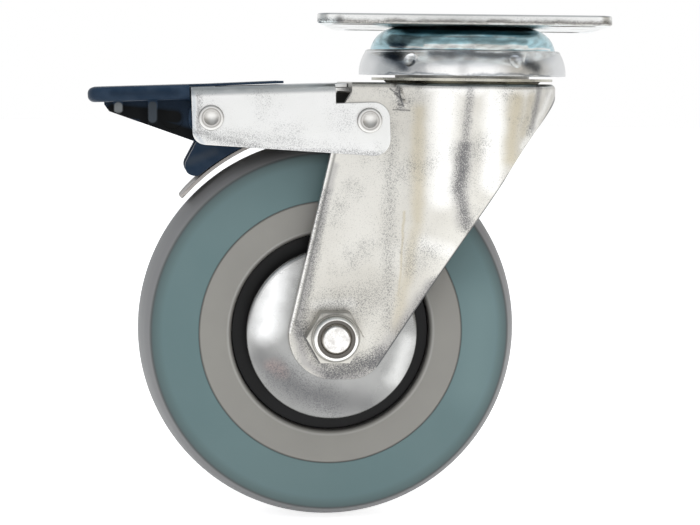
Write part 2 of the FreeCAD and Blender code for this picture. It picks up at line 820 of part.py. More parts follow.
def make_thread_guard(label, way):
    """A pressed disc with its rim turned in towards the wheel."""
    body = new_body(label)
    sign = "-" if way < 0 else ""
    face = "%s(%s)" % (sign, legInside)
    back = "%s(%s - guard_sheet)" % (sign, legInside)
    rim = "%s(%s - guard_rim)" % (sign, legInside)
    bend = "%s(%s - guard_round)" % (sign, legInside)
    hand = "left" if way > 0 else "right"
    section = new_sketch(body, label + "_section", "XY_Plane")
    outline(section, [
        ("(axle_diameter + axle_fit) / 2", back),
        ("guard_radius - guard_round", back),
        ("guard_radius - guard_sheet", bend, "guard_round - guard_sheet", "right" if way > 0 else "left"),
        ("guard_radius - guard_sheet", rim),
        ("guard_radius", rim),
        ("guard_radius", bend),
        ("guard_radius - guard_round", face, "guard_round", hand),
        ("(axle_diameter + axle_fit) / 2", face),
    ])
    turned(body, label + "_turned", section)
    turn_with_fork(body, axleX, axleZ)
    return body


# ---------------------------------------------------------------- wheel

def make_tyre():
    body = new_body("tyre")
    section = new_sketch(body, "tyre_section", "XY_Plane")
    edge = "tyre_edge_half_width"
    rise = "(wheel_radius - shoulder_radius)"
    crown = "(shoulder_half_width^2 + %s^2) / (2 * %s)" % (rise, rise)
    outline(section, [
        ("rim_joint_radius", "-tyre_side_half_width"),
        ("tyre_edge_radius", "-" + edge),
        ("shoulder_radius", "-shoulder_half_width", "tyre_edge_curve", "left"),
        ("wheel_radius", "0", crown, "left"),
        ("shoulder_radius", "shoulder_half_width", crown, "left"),
        ("tyre_edge_radius", edge, "tyre_edge_curve", "left"),
        ("rim_joint_radius", "tyre_side_half_width"),
        ("rim_bed_radius", "rim_bed_half_width"),
        ("rim_bed_radius", "-rim_bed_half_width"),
    ])
    turned(body, "tyre_turned", section)
    turn_with_fork(body, axleX, axleZ)
    return body


def make_wheel_rim():
    """One moulding: rim, web and hub, with a recess on each side for a flanged bush."""
    body = new_body("wheel_rim")
    section = new_sketch(body, "rim_section", "XY_Plane")
    lip = "rim_lip_radius"
    face = "tyre_side_half_width"
    outline(section, [
        ("bush_radius", "-hub_half_width"),
        ("hub_radius", "-hub_half_width"),
        ("hub_radius", "-rim_web_half_width"),
        (lip, "-rim_web_half_width"),
        (lip, "-(%s - rim_lip_round)" % face),
        (lip + " + rim_lip_round", "-" + face, "rim_lip_round", "left"),
        ("rim_joint_radius", "-" + face),
        ("rim_bed_radius", "-rim_bed_half_width"),
        ("rim_bed_radius", "rim_bed_half_width"),
        ("rim_joint_radius", face),
        (lip + " + rim_lip_round", face),
        (lip, "%s - rim_lip_round" % face, "rim_lip_round", "left"),
        (lip, "rim_web_half_width"),
        ("hub_radius", "rim_web_half_width"),
        ("hub_radius", "hub_half_width"),
        ("bush_radius", "hub_half_width"),
    ])
    turned(body, "rim_turned", section)
    turn_with_fork(body, axleX, axleZ)
    return body


def make_hub_bush(label, way):
    """A flanged bush pressed into the hub; its flange closes the recess behind the guard."""
    body = new_body(label)
    sign = "-" if way < 0 else ""
    bore = "(sleeve_diameter / 2 + wheel_fit)"
    rim = "(rim_lip_radius - bush_flange_gap)"
    inner = sign + "(rim_web_half_width)"
    seat = sign + "(hub_half_width)"
    face = sign + "(hub_half_width + bush_flange_sheet)"
    end = "%s(%s - guard_sheet - bush_side_gap)" % (sign, legInside)
    section = new_sketch(body, label + "_section", "XY_Plane")
    outline(section, [
        (bore, inner),
        ("bush_radius", inner),
        ("bush_radius", seat),
        (rim, seat),
        (rim, face),
        ("hub_radius", face),
        ("bush_radius", end),
        (bore, end),
    ])
    turned(body, label + "_turned", section)
    turn_with_fork(body, axleX, axleZ)
    return body


# ---------------------------------------------------------------- brake

def brake_spot(u, v, across=0.0):
    """A point of the brake's tilted frame about the pivot rivet, in the fork's frame."""
    tilt = FreeCAD.Rotation(FreeCAD.Vector(0, -1, 0), number("brake_tilt"))
    moved = tilt.multVec(FreeCAD.Vector(number(u), 0, number(v)))
    return (moved.x + number(pivotX), across, moved.z + number(pivotZ))


def make_brake_housing():
    """A folded channel: web on top, two side plates that carry both rivets."""
    body = new_body("brake_housing")
    rear_end = "(rivet_spacing + housing_rear_margin)"
    rear_foot = (rear_end, "-housing_rear_drop")
    web_end = "(%s + %s - web_end_gap)" % (deckFront, pivotReach)
    steps = [
        ("-web_front", "web_height"),
        ("-housing_front_foot", "-housing_front_drop"),
        rear_foot,
        (rear_end, "ear_height"),
        (web_end, "ear_height"),
        (web_end, "web_height"),
    ]
    side = new_sketch(body, "housing_side", "XZ_Plane", pivotX, pivotZ, turn="brake_tilt")
    outline(side, steps)
    shell = pad(body, "housing_block", side, "2 * " + housingOutside)
    doc.recompute()

    rear_corners = [brake_spot(*rear_foot), brake_spot(rear_end, "ear_height")]
    rear = dress(body, "Fillet", "ear_corners", shell, edges_near(shell.Shape, rear_corners), "ear_round")
    doc.recompute()
    front_corner = [brake_spot("-housing_front_foot", "-housing_front_drop")]
    front = dress(body, "Fillet", "front_corner_round", rear, edges_near(rear.Shape, front_corner),
                  "front_corner")
    doc.recompute()
    half = number(housingOutside)
    folds = [brake_spot(web_end + " / 2", "web_height", across) for across in (-half, half)]
    dress(body, "Fillet", "folds", front, edges_near(front.Shape, folds), "housing_bend")

    under = new_sketch(body, "channel_section", "XZ_Plane", pivotX, pivotZ, turn="brake_tilt")
    ceiling = "(web_height - housing_sheet)"
    outline(under, [
        ("-web_front * 2", ceiling),
        ("-web_front * 2", "-housing_rear_drop * 2"),
        (rear_end + " + web_front", "-housing_rear_drop * 2"),
        (rear_end + " + web_front", ceiling),
    ])
    pocket(body, "channel", under, "2 * " + housingInside)

    # Notch in the web that the pedal's blade dips into.
    notch = new_sketch(body, "notch_section", "XZ_Plane", pivotX, pivotZ, turn="brake_tilt")
    outline(notch, [
        ("-web_front * 2", ceiling + " - housing_sheet"),
        ("notch_reach", ceiling + " - housing_sheet"),
        ("notch_reach", "web_height + housing_sheet"),
        ("-web_front * 2", "web_height + housing_sheet"),
    ])
    pocket(body, "blade_notch", notch, "blade_width + 2 * notch_gap")

    # Tongue that runs on from the web and ends just short of the crown's front edge.
    tongue = new_sketch(body, "tongue_section", "XZ_Plane", pivotX, pivotZ, turn="brake_tilt")
    start = "(%s - housing_sheet)" % web_end
    before_deck = "(%s + %s - tongue_gap)" % (deckFront, pivotReach)
    stop = "(%s + %s * sin(brake_tilt)) / cos(brake_tilt)" % (before_deck, ceiling)
    outline(tongue, [(start, ceiling), (stop, ceiling), (stop, "web_height"), (start, "web_height")])
    pad(body, "tongue", tongue, "tongue_width")

    holes = new_sketch(body, "housing_holes", "XZ_Plane", pivotX, pivotZ, turn="brake_tilt")
    circle_in(holes, "0", "0", "rivet_radius + rivet_fit")
    circle_in(holes, "rivet_spacing", "-rear_rivet_step", "rivet_radius + rivet_fit")
    pocket(body, "rivet_holes", holes, "4 * " + housingOutside)
    turn_with_fork(body)
    return body


def make_rivet(label, along, up):
    """A through rivet with a rolled, dished head at each end."""
    body = new_body(label)
    seat = housingOutside
    top = "(%s + rivet_head_height)" % seat
    dish = "(%s - rivet_dish_depth)" % top
    roll = "rivet_head_height / 2"
    bowl = "(rivet_dish_radius^2 + rivet_dish_depth^2) / (2 * rivet_dish_depth)"
    section = new_sketch(body, label + "_section", "XY_Plane")
    outline(section, [
        ("0", "-" + dish),
        ("rivet_dish_radius", "-" + top, bowl, "right"),
        ("rivet_head_radius - " + roll, "-" + top),
        ("rivet_head_radius", "-(%s - %s)" % (top, roll), roll, "left"),
        ("rivet_head_radius", "-" + seat),
        ("rivet_radius", "-" + seat),
        ("rivet_radius", seat),
        ("rivet_head_radius", seat),
        ("rivet_head_radius", "%s - %s" % (top, roll)),
        ("rivet_head_radius - " + roll, top, roll, "left"),
        ("rivet_dish_radius", top),
        ("0", dish, bowl, "right"),
    ])
    turned(body, label + "_turned", section)
    turn_with_fork(body, along, up)
    return body


def make_brake_pedal():
    body = new_body("brake_pedal")

    def brake_sketch(name):
        return new_sketch(body, name, "XZ_Plane", pivotX, pivotZ, turn="brake_tilt")

    top = "(web_height + blade_gap + blade_thickness)"
    under = "(%s - pad_thickness)" % top

    # Foot pad: a thick plate with rounded corners and a soft rim.
    side = brake_sketch("pad_side")
    outline(side, [
        ("-pad_reach", top),
        ("-pad_reach", under),
        (padInner, under),
        (padInner, top),
    ])
    plate = pad(body, "foot_pad", side, "pad_width")
    doc.recompute()
    half = number("pad_width / 2")
    corners = [brake_spot("-pad_reach", top + " - pad_thickness / 2", across) for across in (-half, half)]
    soft = dress(body, "Fillet", "pad_corners", plate, edges_near(plate.Shape, corners), "pad_corner")
    doc.recompute()
    rims = [brake_spot("-pad_reach", level) for level in (top, under)]
    dress(body, "Fillet", "pad_rim", soft, edges_near(soft.Shape, rims), "pad_rim_round")
    blade = brake_sketch("blade_side")
    outline(blade, [
        (padInner + " - blade_root", top),
        (padInner + " - blade_root", top + " - blade_thickness"),
        ("0", top + " - blade_thickness"),
        ("blade_reach", top + " - blade_thickness + blade_rise"),
        ("blade_reach", top + " + blade_rise"),
        ("0", top),
    ])
    pad(body, "blade", blade, "blade_width")

    # Two gusset plates under the pad, crossed by ribs.
    ceiling = "(web_height - housing_sheet - hub_side_gap)"
    gusset = brake_sketch("gusset_side")
    outline(gusset, [
        ("-gusset_reach", under),
        ("-gusset_reach", "gusset_nose_height + gusset_nose_rise"),
        ("-gusset_reach + gusset_nose_cut", "gusset_nose_height"),
        ("-gusset_foot_reach", "-gusset_foot_drop"),
        ("hub_barrel_radius", "-gusset_foot_drop"),
        ("hub_barrel_radius", "hub_barrel_radius / 2"),
        ("hub_barrel_radius / 8", ceiling),
        (padInner, ceiling),
        (padInner, under),
    ])
    pad(body, "gussets", gusset, "gusset_spread")
    between = brake_sketch("gusset_gap_side")
    outline(between, [
        ("-gusset_reach - gusset_wall", under),
        ("-gusset_reach - gusset_wall", "-gusset_foot_drop * 2"),
        ("hub_barrel_radius + gusset_wall", "-gusset_foot_drop * 2"),
        ("hub_barrel_radius + gusset_wall", ceiling + " + hub_side_gap / 2"),
        (padInner, ceiling + " + hub_side_gap / 2"),
        (padInner, under),
    ])
    pocket(body, "gusset_gap", between, "gusset_spread - 2 * gusset_wall")
    run = "(gusset_reach - gusset_nose_cut - gusset_foot_reach)"
    edge_slope = "((gusset_nose_height + gusset_foot_drop) / %s)" % run
    for label, reach in (("front_rib", "front_rib_reach"), ("rear_rib", "rear_rib_reach")):
        before = "(gusset_reach - gusset_nose_cut - %s - rib_width / 2)" % reach
        foot = "(gusset_nose_height - %s * %s + rib_inset)" % (before, edge_slope)
        rib = brake_sketch(label + "_side")
        outline(rib, [
            ("-%s - rib_width / 2" % reach, under + " + join_depth"),
            ("-%s - rib_width / 2" % reach, foot),
            ("-%s + rib_width / 2" % reach, foot),
            ("-%s + rib_width / 2" % reach, under + " + join_depth"),
        ])
        pad(body, label, rib, "rib_span")

    barrel = circle_in(brake_sketch("barrel_outline"), "0", "0", "hub_barrel_radius")
    pad(body, "pivot_barrel", barrel, "2 * (%s - hub_side_gap)" % housingInside)

    # Cam shoes: two curved arms that lie along the leaf, drawn about the axle.
    low = "(wheel_radius + leaf_gap + leaf_sheet + shoe_gap)"
    high = "(%s + shoe_thickness)" % low
    mid = "(%s + shoe_thickness / 2)" % low
    tip = "shoe_angle"
    nose = "(shoe_angle + shoe_tip_turn)"
    back = "shoe_back_angle"
    hub = "(swivel_offset - %s)" % pivotReach
    shoes = new_sketch(body, "shoe_side", "XZ_Plane", axleX, axleZ)
    outline(shoes, [
        ("-%s * sin(%s)" % (high, tip), "%s * cos(%s)" % (high, tip)),
        ("-%s * sin(%s)" % (mid, nose), "%s * cos(%s)" % (mid, nose), "shoe_tip_radius", "left"),
        ("-%s * sin(%s)" % (low, tip), "%s * cos(%s)" % (low, tip), "shoe_tip_radius", "left"),
        ("-%s * sin(%s)" % (low, back), "%s * cos(%s)" % (low, back), low, "right"),
        ("-%s * sin(%s)" % (high, back), "%s * cos(%s)" % (high, back)),
        ("%s + hub_barrel_radius" % hub, "axle_drop + %s" % pivotZ),
        ("%s - hub_barrel_radius * 0.7" % hub, "axle_drop + %s - hub_barrel_radius / 6" % pivotZ),
        ("%s - hub_barrel_radius / 2" % hub, "axle_drop + %s - hub_barrel_radius" % pivotZ),
    ])
    pad(body, "shoes", shoes, "shoe_spread")
    slot = new_sketch(body, "shoe_gap_side", "XZ_Plane", axleX, axleZ)
    far = "(wheel_radius * 2)"
    barrel_foot = "(axle_drop + %s - hub_barrel_radius - hub_side_gap)" % pivotZ
    outline(slot, [
        ("-" + far, barrel_foot),
        ("-" + far, "wheel_radius / 2"),
        ("0", "wheel_radius / 2"),
        ("0", barrel_foot),
    ])
    pocket(body, "shoe_slot", slot, "shoe_spread - 2 * shoe_wall")

    recess = circle_in(new_sketch(body, "recess_outline", "XZ_Plane", pivotX, pivotZ,
                                  out="gusset_spread / 2", turn="brake_tilt"),
                       "-recess_reach", "0", "recess_radius")
    pocket(body, "near_recess", recess, "recess_depth", "One side")
    far_recess = circle_in(new_sketch(body, "far_recess_outline", "XZ_Plane", pivotX, pivotZ,
                                      out="-gusset_spread / 2", turn="brake_tilt"),
                           "-recess_reach", "0", "recess_radius")
    pocket(body, "far_recess", far_recess, "recess_depth", "One side", True)

    bore = circle_in(brake_sketch("bore_outline"), "0", "0", "rivet_radius + rivet_fit")
    pocket(body, "pivot_bore", bore, "4 * " + housingOutside)
    turn_with_fork(body)
    return body


def make_brake_leaf():
    """A spring strip that lies round the tyre, its root rolled into an eye on the rear rivet."""
    body = new_body("brake_leaf")
    root_x = "(%s + swivel_offset)" % rearX
    root_z = "(%s + axle_drop)" % rearZ
    reach = "sqrt(%s^2 + %s^2)" % (root_x, root_z)
    eye = "(rivet_radius + rivet_fit + leaf_sheet)"
    low = "(wheel_radius + leaf_gap)"
    high = "(%s + leaf_sheet)" % low
    root_low = "(1 - %s / %s)" % (eye, reach)
    root_high = "(1 - (%s - leaf_sheet) / %s)" % (eye, reach)
    strip = new_sketch(body, "strip_section", "XZ_Plane", axleX, axleZ)
    outline(strip, [
        (root_x + " * " + root_high, root_z + " * " + root_high),
        ("-%s * sin(leaf_tip_angle)" % high, "%s * cos(leaf_tip_angle)" % high, high, "left"),
        ("-%s * sin(leaf_tip_angle)" % low, "%s * cos(leaf_tip_angle)" % low),
        (root_x + " * " + root_low, root_z + " * " + root_low, low, "right"),
    ])
    blade = pad(body, "strip", strip, "leaf_width")
    doc.recompute()
    mid = number(low + " + leaf_sheet / 2")
    tip_x = number(axleX) - mid * number("sin(leaf_tip_angle)")
    tip_z = number(axleZ) + mid * number("cos(leaf_tip_angle)")
    corners = [(tip_x, across, tip_z) for across in (-number("leaf_width / 2"), number("leaf_width / 2"))]
    dress(body, "Fillet", "tip_corners", blade, edges_near(blade.Shape, corners), "leaf_tip_corner")
    eye_sketch = circle_in(new_sketch(body, "eye_outline", "XZ_Plane", axleX, axleZ), root_x, root_z, eye)
    pad(body, "eye", eye_sketch, "leaf_width")
    bore = circle_in(new_sketch(body, "eye_bore_outline", "XZ_Plane", axleX, axleZ), root_x, root_z,
                     "rivet_radius + rivet_fit")
    pocket(body, "eye_bore", bore, "leaf_width * 2")
    turn_with_fork(body)
    return body


# ---------------------------------------------------------------- build

pieces = [
    make_top_plate(),
    make_kingpin(),
    make_upper_race_cup(),
    make_dust_ring(),
    make_lower_race_cup(),
    make_ball_row("upper_balls", "upper_ball", upperRow, upperLevel, "upper_ball_count"),
    make_ball_row("lower_balls", "lower_ball", lowerRow, lowerLevel, "lower_ball_count"),
    make_fork(),
    make_dust_washer(),
    make_axle_bolt(),
    make_axle_nut(),
    make_ring_about_axle("nut_insert", "axle_diameter / 2 + kingpin_fit",
                         "nut_collar_radius - nut_collar_wall",
                         "-(%s + nut_height - nut_ring_sink)" % legOutside,
                         "-(%s + nut_hex_height)" % legOutside),
    make_ring_about_axle("axle_sleeve", "(axle_diameter + axle_fit) / 2", "sleeve_diameter / 2",
                         "-(%s - guard_sheet)" % legInside, "%s - guard_sheet" % legInside),
    make_thread_guard("thread_guard_near", -1),
    make_thread_guard("thread_guard_far", 1),
    make_wheel_rim(),
    make_tyre(),
    make_hub_bush("hub_bush_near", -1),
    make_hub_bush("hub_bush_far", 1),
    make_brake_housing(),
    make_rivet("pivot_rivet", pivotX, pivotZ),
    make_rivet("rear_rivet", rearX, rearZ),
    make_brake_pedal(),
    make_brake_leaf(),
]
doc.recompute()

faults = [item.Name for item in doc.Objects if "Invalid" in item.State or "Error" in item.State]
if faults:
    raise SystemExit("objects that failed: " + ", ".join(faults))
os.makedirs("parts", exist_ok=True)
for piece in pieces:
    if piece.Shape.isNull() or not piece.Shape.isValid():
        raise SystemExit("bad shape: " + piece.Label)
for piece in pieces:
    piece.Shape.exportStep("parts/%s.step" % piece.Label)
    print("%-18s solids %2d  volume %9.1f" % (piece.Label, len(piece.Shape.Solids), piece.Shape.Volume))
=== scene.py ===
import json
import math

import bpy
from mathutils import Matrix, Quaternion, Vector

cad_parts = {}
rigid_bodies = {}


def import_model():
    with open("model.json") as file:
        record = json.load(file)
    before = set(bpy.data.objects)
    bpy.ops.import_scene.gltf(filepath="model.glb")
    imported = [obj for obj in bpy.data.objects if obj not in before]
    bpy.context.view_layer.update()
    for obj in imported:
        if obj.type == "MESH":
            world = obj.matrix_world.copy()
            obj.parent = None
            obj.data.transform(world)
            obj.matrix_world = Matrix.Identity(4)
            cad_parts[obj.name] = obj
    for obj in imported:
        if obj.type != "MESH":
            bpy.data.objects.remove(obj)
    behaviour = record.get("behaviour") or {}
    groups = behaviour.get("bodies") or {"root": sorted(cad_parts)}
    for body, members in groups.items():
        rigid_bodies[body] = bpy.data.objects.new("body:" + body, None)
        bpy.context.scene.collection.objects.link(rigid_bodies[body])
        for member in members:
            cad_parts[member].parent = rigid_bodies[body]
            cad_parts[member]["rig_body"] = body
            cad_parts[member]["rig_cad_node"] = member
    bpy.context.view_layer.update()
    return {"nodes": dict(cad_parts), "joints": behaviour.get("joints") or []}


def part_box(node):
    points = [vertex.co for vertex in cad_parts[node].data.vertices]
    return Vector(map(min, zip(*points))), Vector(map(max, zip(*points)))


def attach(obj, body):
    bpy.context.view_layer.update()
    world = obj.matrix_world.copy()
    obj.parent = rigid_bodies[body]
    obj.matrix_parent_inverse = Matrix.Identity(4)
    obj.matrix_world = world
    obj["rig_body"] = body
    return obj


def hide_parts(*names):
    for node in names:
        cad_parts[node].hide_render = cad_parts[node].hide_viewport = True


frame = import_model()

mm = 0.001

joints = {joint["name"]: joint for joint in frame["joints"]}
axleAt = Vector(joints["wheel_spin"]["pos_m"])
across = Vector(joints["wheel_spin"]["axis"]).normalized()   # from the nut's side to the bolt head's
trail = Vector((axleAt.x, axleAt.y, 0)).normalized()         # from the swivel towards the wheel
forkTurn = math.atan2(-trail.y, -trail.x)
forkAxle = (-math.hypot(axleAt.x, axleAt.y), 0, axleAt.z)    # the axle in the fork's own frame
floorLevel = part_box("tyre")[0].z
boltEnd = (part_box("axle_bolt")[0].y - axleAt.y) / across.y   # where the bolt stops, along the axle

print("frame read, fork turned", round(math.degrees(forkTurn), 2), "degrees")

# how merged copies and turned pieces are cleaned: distances in metres, angles in degrees
cleaning = {"weld": 0.002 * mm, "seam": 0.001 * mm, "flat": 0.4, "corner": 32, "crease": 35,
            "turnedCrease": 30}


def deselectAll():
    if bpy.context.object and bpy.context.object.mode != "OBJECT":
        bpy.ops.object.mode_set(mode="OBJECT")
    bpy.ops.object.select_all(action="DESELECT")


def pickOnly(piece):
    deselectAll()
    piece.select_set(True)
    bpy.context.view_layer.objects.active = piece


def editMode(piece):
    pickOnly(piece)
    bpy.ops.object.mode_set(mode="EDIT")
    bpy.ops.mesh.select_mode(type="VERT")
    bpy.ops.mesh.select_all(action="DESELECT")


def objectMode():
    bpy.ops.object.mode_set(mode="OBJECT")


def applyModifier(piece, kind, **values):
    pickOnly(piece)
    modifier = piece.modifiers.new(kind.title(), kind)
    for key, value in values.items():
        setattr(modifier, key, value)
    bpy.ops.object.modifier_apply(modifier=modifier.name)


def smooth(piece, angle=cleaning["crease"]):
    pickOnly(piece)
    bpy.ops.object.shade_smooth_by_angle(angle=math.radians(angle))


def dress(piece, material):
    piece.data.materials.clear()
    piece.data.materials.append(material)


def settle(piece, node, material):
    # the new piece stands for its frame piece, on the same body
    dress(piece, material)
    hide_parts(node)
    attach(piece, frame["nodes"][node]["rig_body"])
    return piece


def easedCopy(node, material, ease):
    # a merged copy of a frame piece whose hard edges are eased, as on a tumbled pressing
    deselectAll()
    source = frame["nodes"][node]
    source.select_set(True)
    bpy.context.view_layer.objects.active = source
    bpy.ops.object.duplicate()
    piece = bpy.context.view_layer.objects.active
    piece.parent = None
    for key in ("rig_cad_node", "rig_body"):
        del piece[key]
    piece.name = node + "_eased"
    editMode(piece)
    bpy.ops.mesh.select_all(action="SELECT")
    bpy.ops.mesh.remove_doubles(threshold=cleaning["weld"])
    if ease:
        bpy.ops.mesh.dissolve_limited(angle_limit=math.radians(cleaning["flat"]))
    objectMode()
    if piece.data.has_custom_normals:
        bpy.ops.mesh.customdata_custom_splitnormals_clear()
    if ease:
        applyModifier(piece, "BEVEL", width=ease * mm, segments=2, limit_method="ANGLE",
                      angle_limit=math.radians(cleaning["corner"]), use_clamp_overlap=False,
                      harden_normals=False)
    smooth(piece)
    if ease:
        applyModifier(piece, "WEIGHTED_NORMAL", keep_sharp=True)
    return settle(piece, node, material)


def turnedPiece(name, profile, steps):
    # profile: (radius, place along the axle, rounding) in millimetres, closed by itself
    up = Vector((0, 0, 1))
    points = [axleAt + up * radius * mm + across * along * mm for radius, along, rounding in profile]
    deselectAll()
    bpy.ops.mesh.primitive_plane_add(size=mm, location=points[0])
    piece = bpy.context.view_layer.objects.active
    piece.name = name
    bpy.ops.object.transform_apply(location=True)
    bpy.ops.object.mode_set(mode="EDIT")
    bpy.ops.mesh.select_mode(type="VERT")
    bpy.ops.mesh.merge(type="CENTER")
    for here, there in zip(points, points[1:] + points[:1]):
        bpy.ops.mesh.extrude_region_move(TRANSFORM_OT_translate={"value": there - here})
    bpy.ops.mesh.select_all(action="SELECT")
    bpy.ops.mesh.remove_doubles(threshold=cleaning["seam"])
    for point, (radius, along, rounding) in zip(points, profile):
        if rounding:
            bpy.ops.mesh.select_all(action="DESELECT")
            objectMode()
            for vertex in piece.data.vertices:
                vertex.select = (vertex.co - point).length < cleaning["weld"]
            bpy.ops.object.mode_set(mode="EDIT")
            bpy.ops.mesh.bevel(offset=rounding * mm, segments=5, affect="VERTICES")
    bpy.ops.mesh.select_all(action="SELECT")
    bpy.ops.mesh.spin(steps=steps, angle=2 * math.pi, center=axleAt, axis=across)
    bpy.ops.mesh.select_all(action="SELECT")
    bpy.ops.mesh.remove_doubles(threshold=cleaning["weld"])
    bpy.ops.mesh.normals_make_consistent(inside=False)
    objectMode()
    smooth(piece, cleaning["turnedCrease"])
    return piece


def newGroup(name, inputs, outputs):
    group = bpy.data.node_groups.new(name, "ShaderNodeTree")
    for label, kind, value in inputs:
        socket = group.interface.new_socket(label, in_out="INPUT", socket_type="NodeSocket" + kind)
        if value is not None:
            socket.default_value = value
    for label, kind in outputs:
        group.interface.new_socket(label, in_out="OUTPUT", socket_type="NodeSocket" + kind)
    group.nodes.new("NodeGroupInput").name = "in"
    group.nodes.new("NodeGroupOutput").name = "out"
    return group


def add(tree, kind, **settings):
    # a node with its settings; a name with a leading underscore sets that input socket
    node = tree.nodes.new("ShaderNode" + kind)
    for key, value in settings.items():
        if key.startswith("_"):
            node.inputs[int(key[1:]) if key[1:].isdigit() else key[1:]].default_value = value
        else:
            setattr(node, key, value)
    return node


def join(tree, source, output, target, socket):
    tree.links.new(source.outputs[output], target.inputs[socket])


def ramp(tree, stops, interpolation="LINEAR"):
    node = tree.nodes.new("ShaderNodeValToRGB")
    node.color_ramp.interpolation = interpolation
    while len(node.color_ramp.elements) < len(stops):
        node.color_ramp.elements.new(0.5)
    for element, (place, value) in zip(node.color_ramp.elements, stops):
        element.position = place
        element.color = (value, value, value, 1) if isinstance(value, (int, float)) else (*value, 1)
    return node


def maskGroup():
    # soft patches: noise of one size, cut between two levels
    group = newGroup("softPatches", [("Vector", "Vector", None), ("Scale", "Float", 100.0),
                                     ("Low", "Float", 0.4), ("High", "Float", 0.6)],
                     [("Mask", "Float")])
    noise = add(group, "TexNoise", _Detail=3.0, _Roughness=0.55)
    cut = add(group, "MapRange", interpolation_type="SMOOTHSTEP")
    source, target = group.nodes["in"], group.nodes["out"]
    join(group, source, "Vector", noise, "Vector")
    join(group, source, "Scale", noise, "Scale")
    join(group, noise, "Fac", cut, "Value")
    join(group, source, "Low", cut, "From Min")
    join(group, source, "High", cut, "From Max")
    join(group, cut, "Result", target, "Mask")
    return group


def skinGroup():
    # the height of a fine pebbled skin with a slower waviness under it
    group = newGroup("pebbledSkin", [("Vector", "Vector", None), ("Grain", "Float", 2400.0),
                                     ("Wave", "Float", 130.0), ("Wave Share", "Float", 0.2)],
                     [("Height", "Float")])
    grain = add(group, "TexNoise", _Detail=2.0, _Roughness=0.6)
    wave = add(group, "TexNoise", _Detail=1.0)
    mixed = add(group, "Mix", data_type="FLOAT")
    source, target = group.nodes["in"], group.nodes["out"]
    for node, scale in ((grain, "Grain"), (wave, "Wave")):
        join(group, source, "Vector", node, "Vector")
        join(group, source, scale, node, "Scale")
    join(group, source, "Wave Share", mixed, "Factor")
    join(group, grain, "Fac", mixed, 2)
    join(group, wave, "Fac", mixed, 3)
    join(group, mixed, 0, target, "Height")
    return group


def fleckGroup():
    # small flecks that crowd together as the density goes from none to one
    group = newGroup("denseFlecks", [("Vector", "Vector", None), ("Scale", "Float", 2600.0),
                                     ("Density", "Float", 0.0)], [("Mask", "Float")])
    sparse, crowded, edge = 0.64, 0.38, 0.17
    noise = add(group, "TexNoise", _Detail=1.5, _Roughness=0.7)
    low = add(group, "MapRange", _3=sparse, _4=crowded)
    high = add(group, "Math", operation="ADD", _1=edge)
    cut = add(group, "MapRange")
    source, target = group.nodes["in"], group.nodes["out"]
    join(group, source, "Vector", noise, "Vector")
    join(group, source, "Scale", noise, "Scale")
    join(group, source, "Density", low, 0)
    join(group, low, 0, high, 0)
    join(group, noise, "Fac", cut, 0)
    join(group, low, 0, cut, 1)
    join(group, high, 0, cut, 2)
    join(group, cut, 0, target, "Mask")
    return group


def strokeGroup():
    # a soft stroke between two places, the same all the way through along Y
    group = newGroup("softStroke", [("Vector", "Vector", None), ("From", "Vector", None),
                                    ("To", "Vector", None), ("Half Width", "Float", 0.003),
                                    ("Amount", "Float", 1.0)],
                     [("Mask", "Float")])
    source, target = group.nodes["in"], group.nodes["out"]
    flat = (1.0, 0.0, 1.0)
    reach = add(group, "VectorMath", operation="SUBTRACT")
    join(group, source, "Vector", reach, 0)
    join(group, source, "From", reach, 1)
    reachFlat = add(group, "VectorMath", operation="MULTIPLY", _1=flat)
    join(group, reach, 0, reachFlat, 0)
    run = add(group, "VectorMath", operation="SUBTRACT")
    join(group, source, "To", run, 0)
    join(group, source, "From", run, 1)
    along = add(group, "VectorMath", operation="DOT_PRODUCT")
    join(group, reachFlat, 0, along, 0)
    join(group, run, 0, along, 1)
    whole = add(group, "VectorMath", operation="DOT_PRODUCT")
    join(group, run, 0, whole, 0)
    join(group, run, 0, whole, 1)
    share = add(group, "Math", operation="DIVIDE", use_clamp=True)
    join(group, along, "Value", share, 0)
    join(group, whole, "Value", share, 1)
    foot = add(group, "VectorMath", operation="SCALE")
    join(group, run, 0, foot, 0)
    join(group, share, 0, foot, "Scale")
    away = add(group, "VectorMath", operation="DISTANCE")
    join(group, reachFlat, 0, away, 0)
    join(group, foot, 0, away, 1)
    fade = add(group, "MapRange", interpolation_type="SMOOTHSTEP", _4=0.0)
    join(group, away, "Value", fade, 0)
    join(group, source, "Half Width", fade, 2)
    join(group, source, "Amount", fade, 3)
    join(group, fade, 0, target, "Mask")
    return group


def ringGroup():
    # how far a place is from an axis along Y through the centre, how far along it,
    # and how far from the centre itself
    group = newGroup("aboutAxis", [("Vector", "Vector", None), ("Centre", "Vector", None)],
                     [("Radius", "Float"), ("Along", "Float"), ("Reach", "Float")])
    source, target = group.nodes["in"], group.nodes["out"]
    reach = add(group, "VectorMath", operation="SUBTRACT")
    join(group, source, "Vector", reach, 0)
    join(group, source, "Centre", reach, 1)
    flat = add(group, "VectorMath", operation="MULTIPLY", _1=(1.0, 0.0, 1.0))
    join(group, reach, 0, flat, 0)
    size = add(group, "VectorMath", operation="LENGTH")
    join(group, flat, 0, size, 0)
    split = add(group, "SeparateXYZ")
    join(group, reach, 0, split, 0)
    away = add(group, "VectorMath", operation="LENGTH")
    join(group, reach, 0, away, 0)
    join(group, away, "Value", target, "Reach")
    join(group, size, "Value", target, "Radius")
    join(group, split, "Y", target, "Along")
    return group


groups = {
    "patches": maskGroup(),
    "skin": skinGroup(),
    "flecks": fleckGroup(),
    "stroke": strokeGroup(),
    "ring": ringGroup(),
}


def useGroup(tree, name, **values):
    node = tree.nodes.new("ShaderNodeGroup")
    node.node_tree = groups[name]
    for key, value in values.items():
        node.inputs[key.replace("_", " ")].default_value = value
    return node


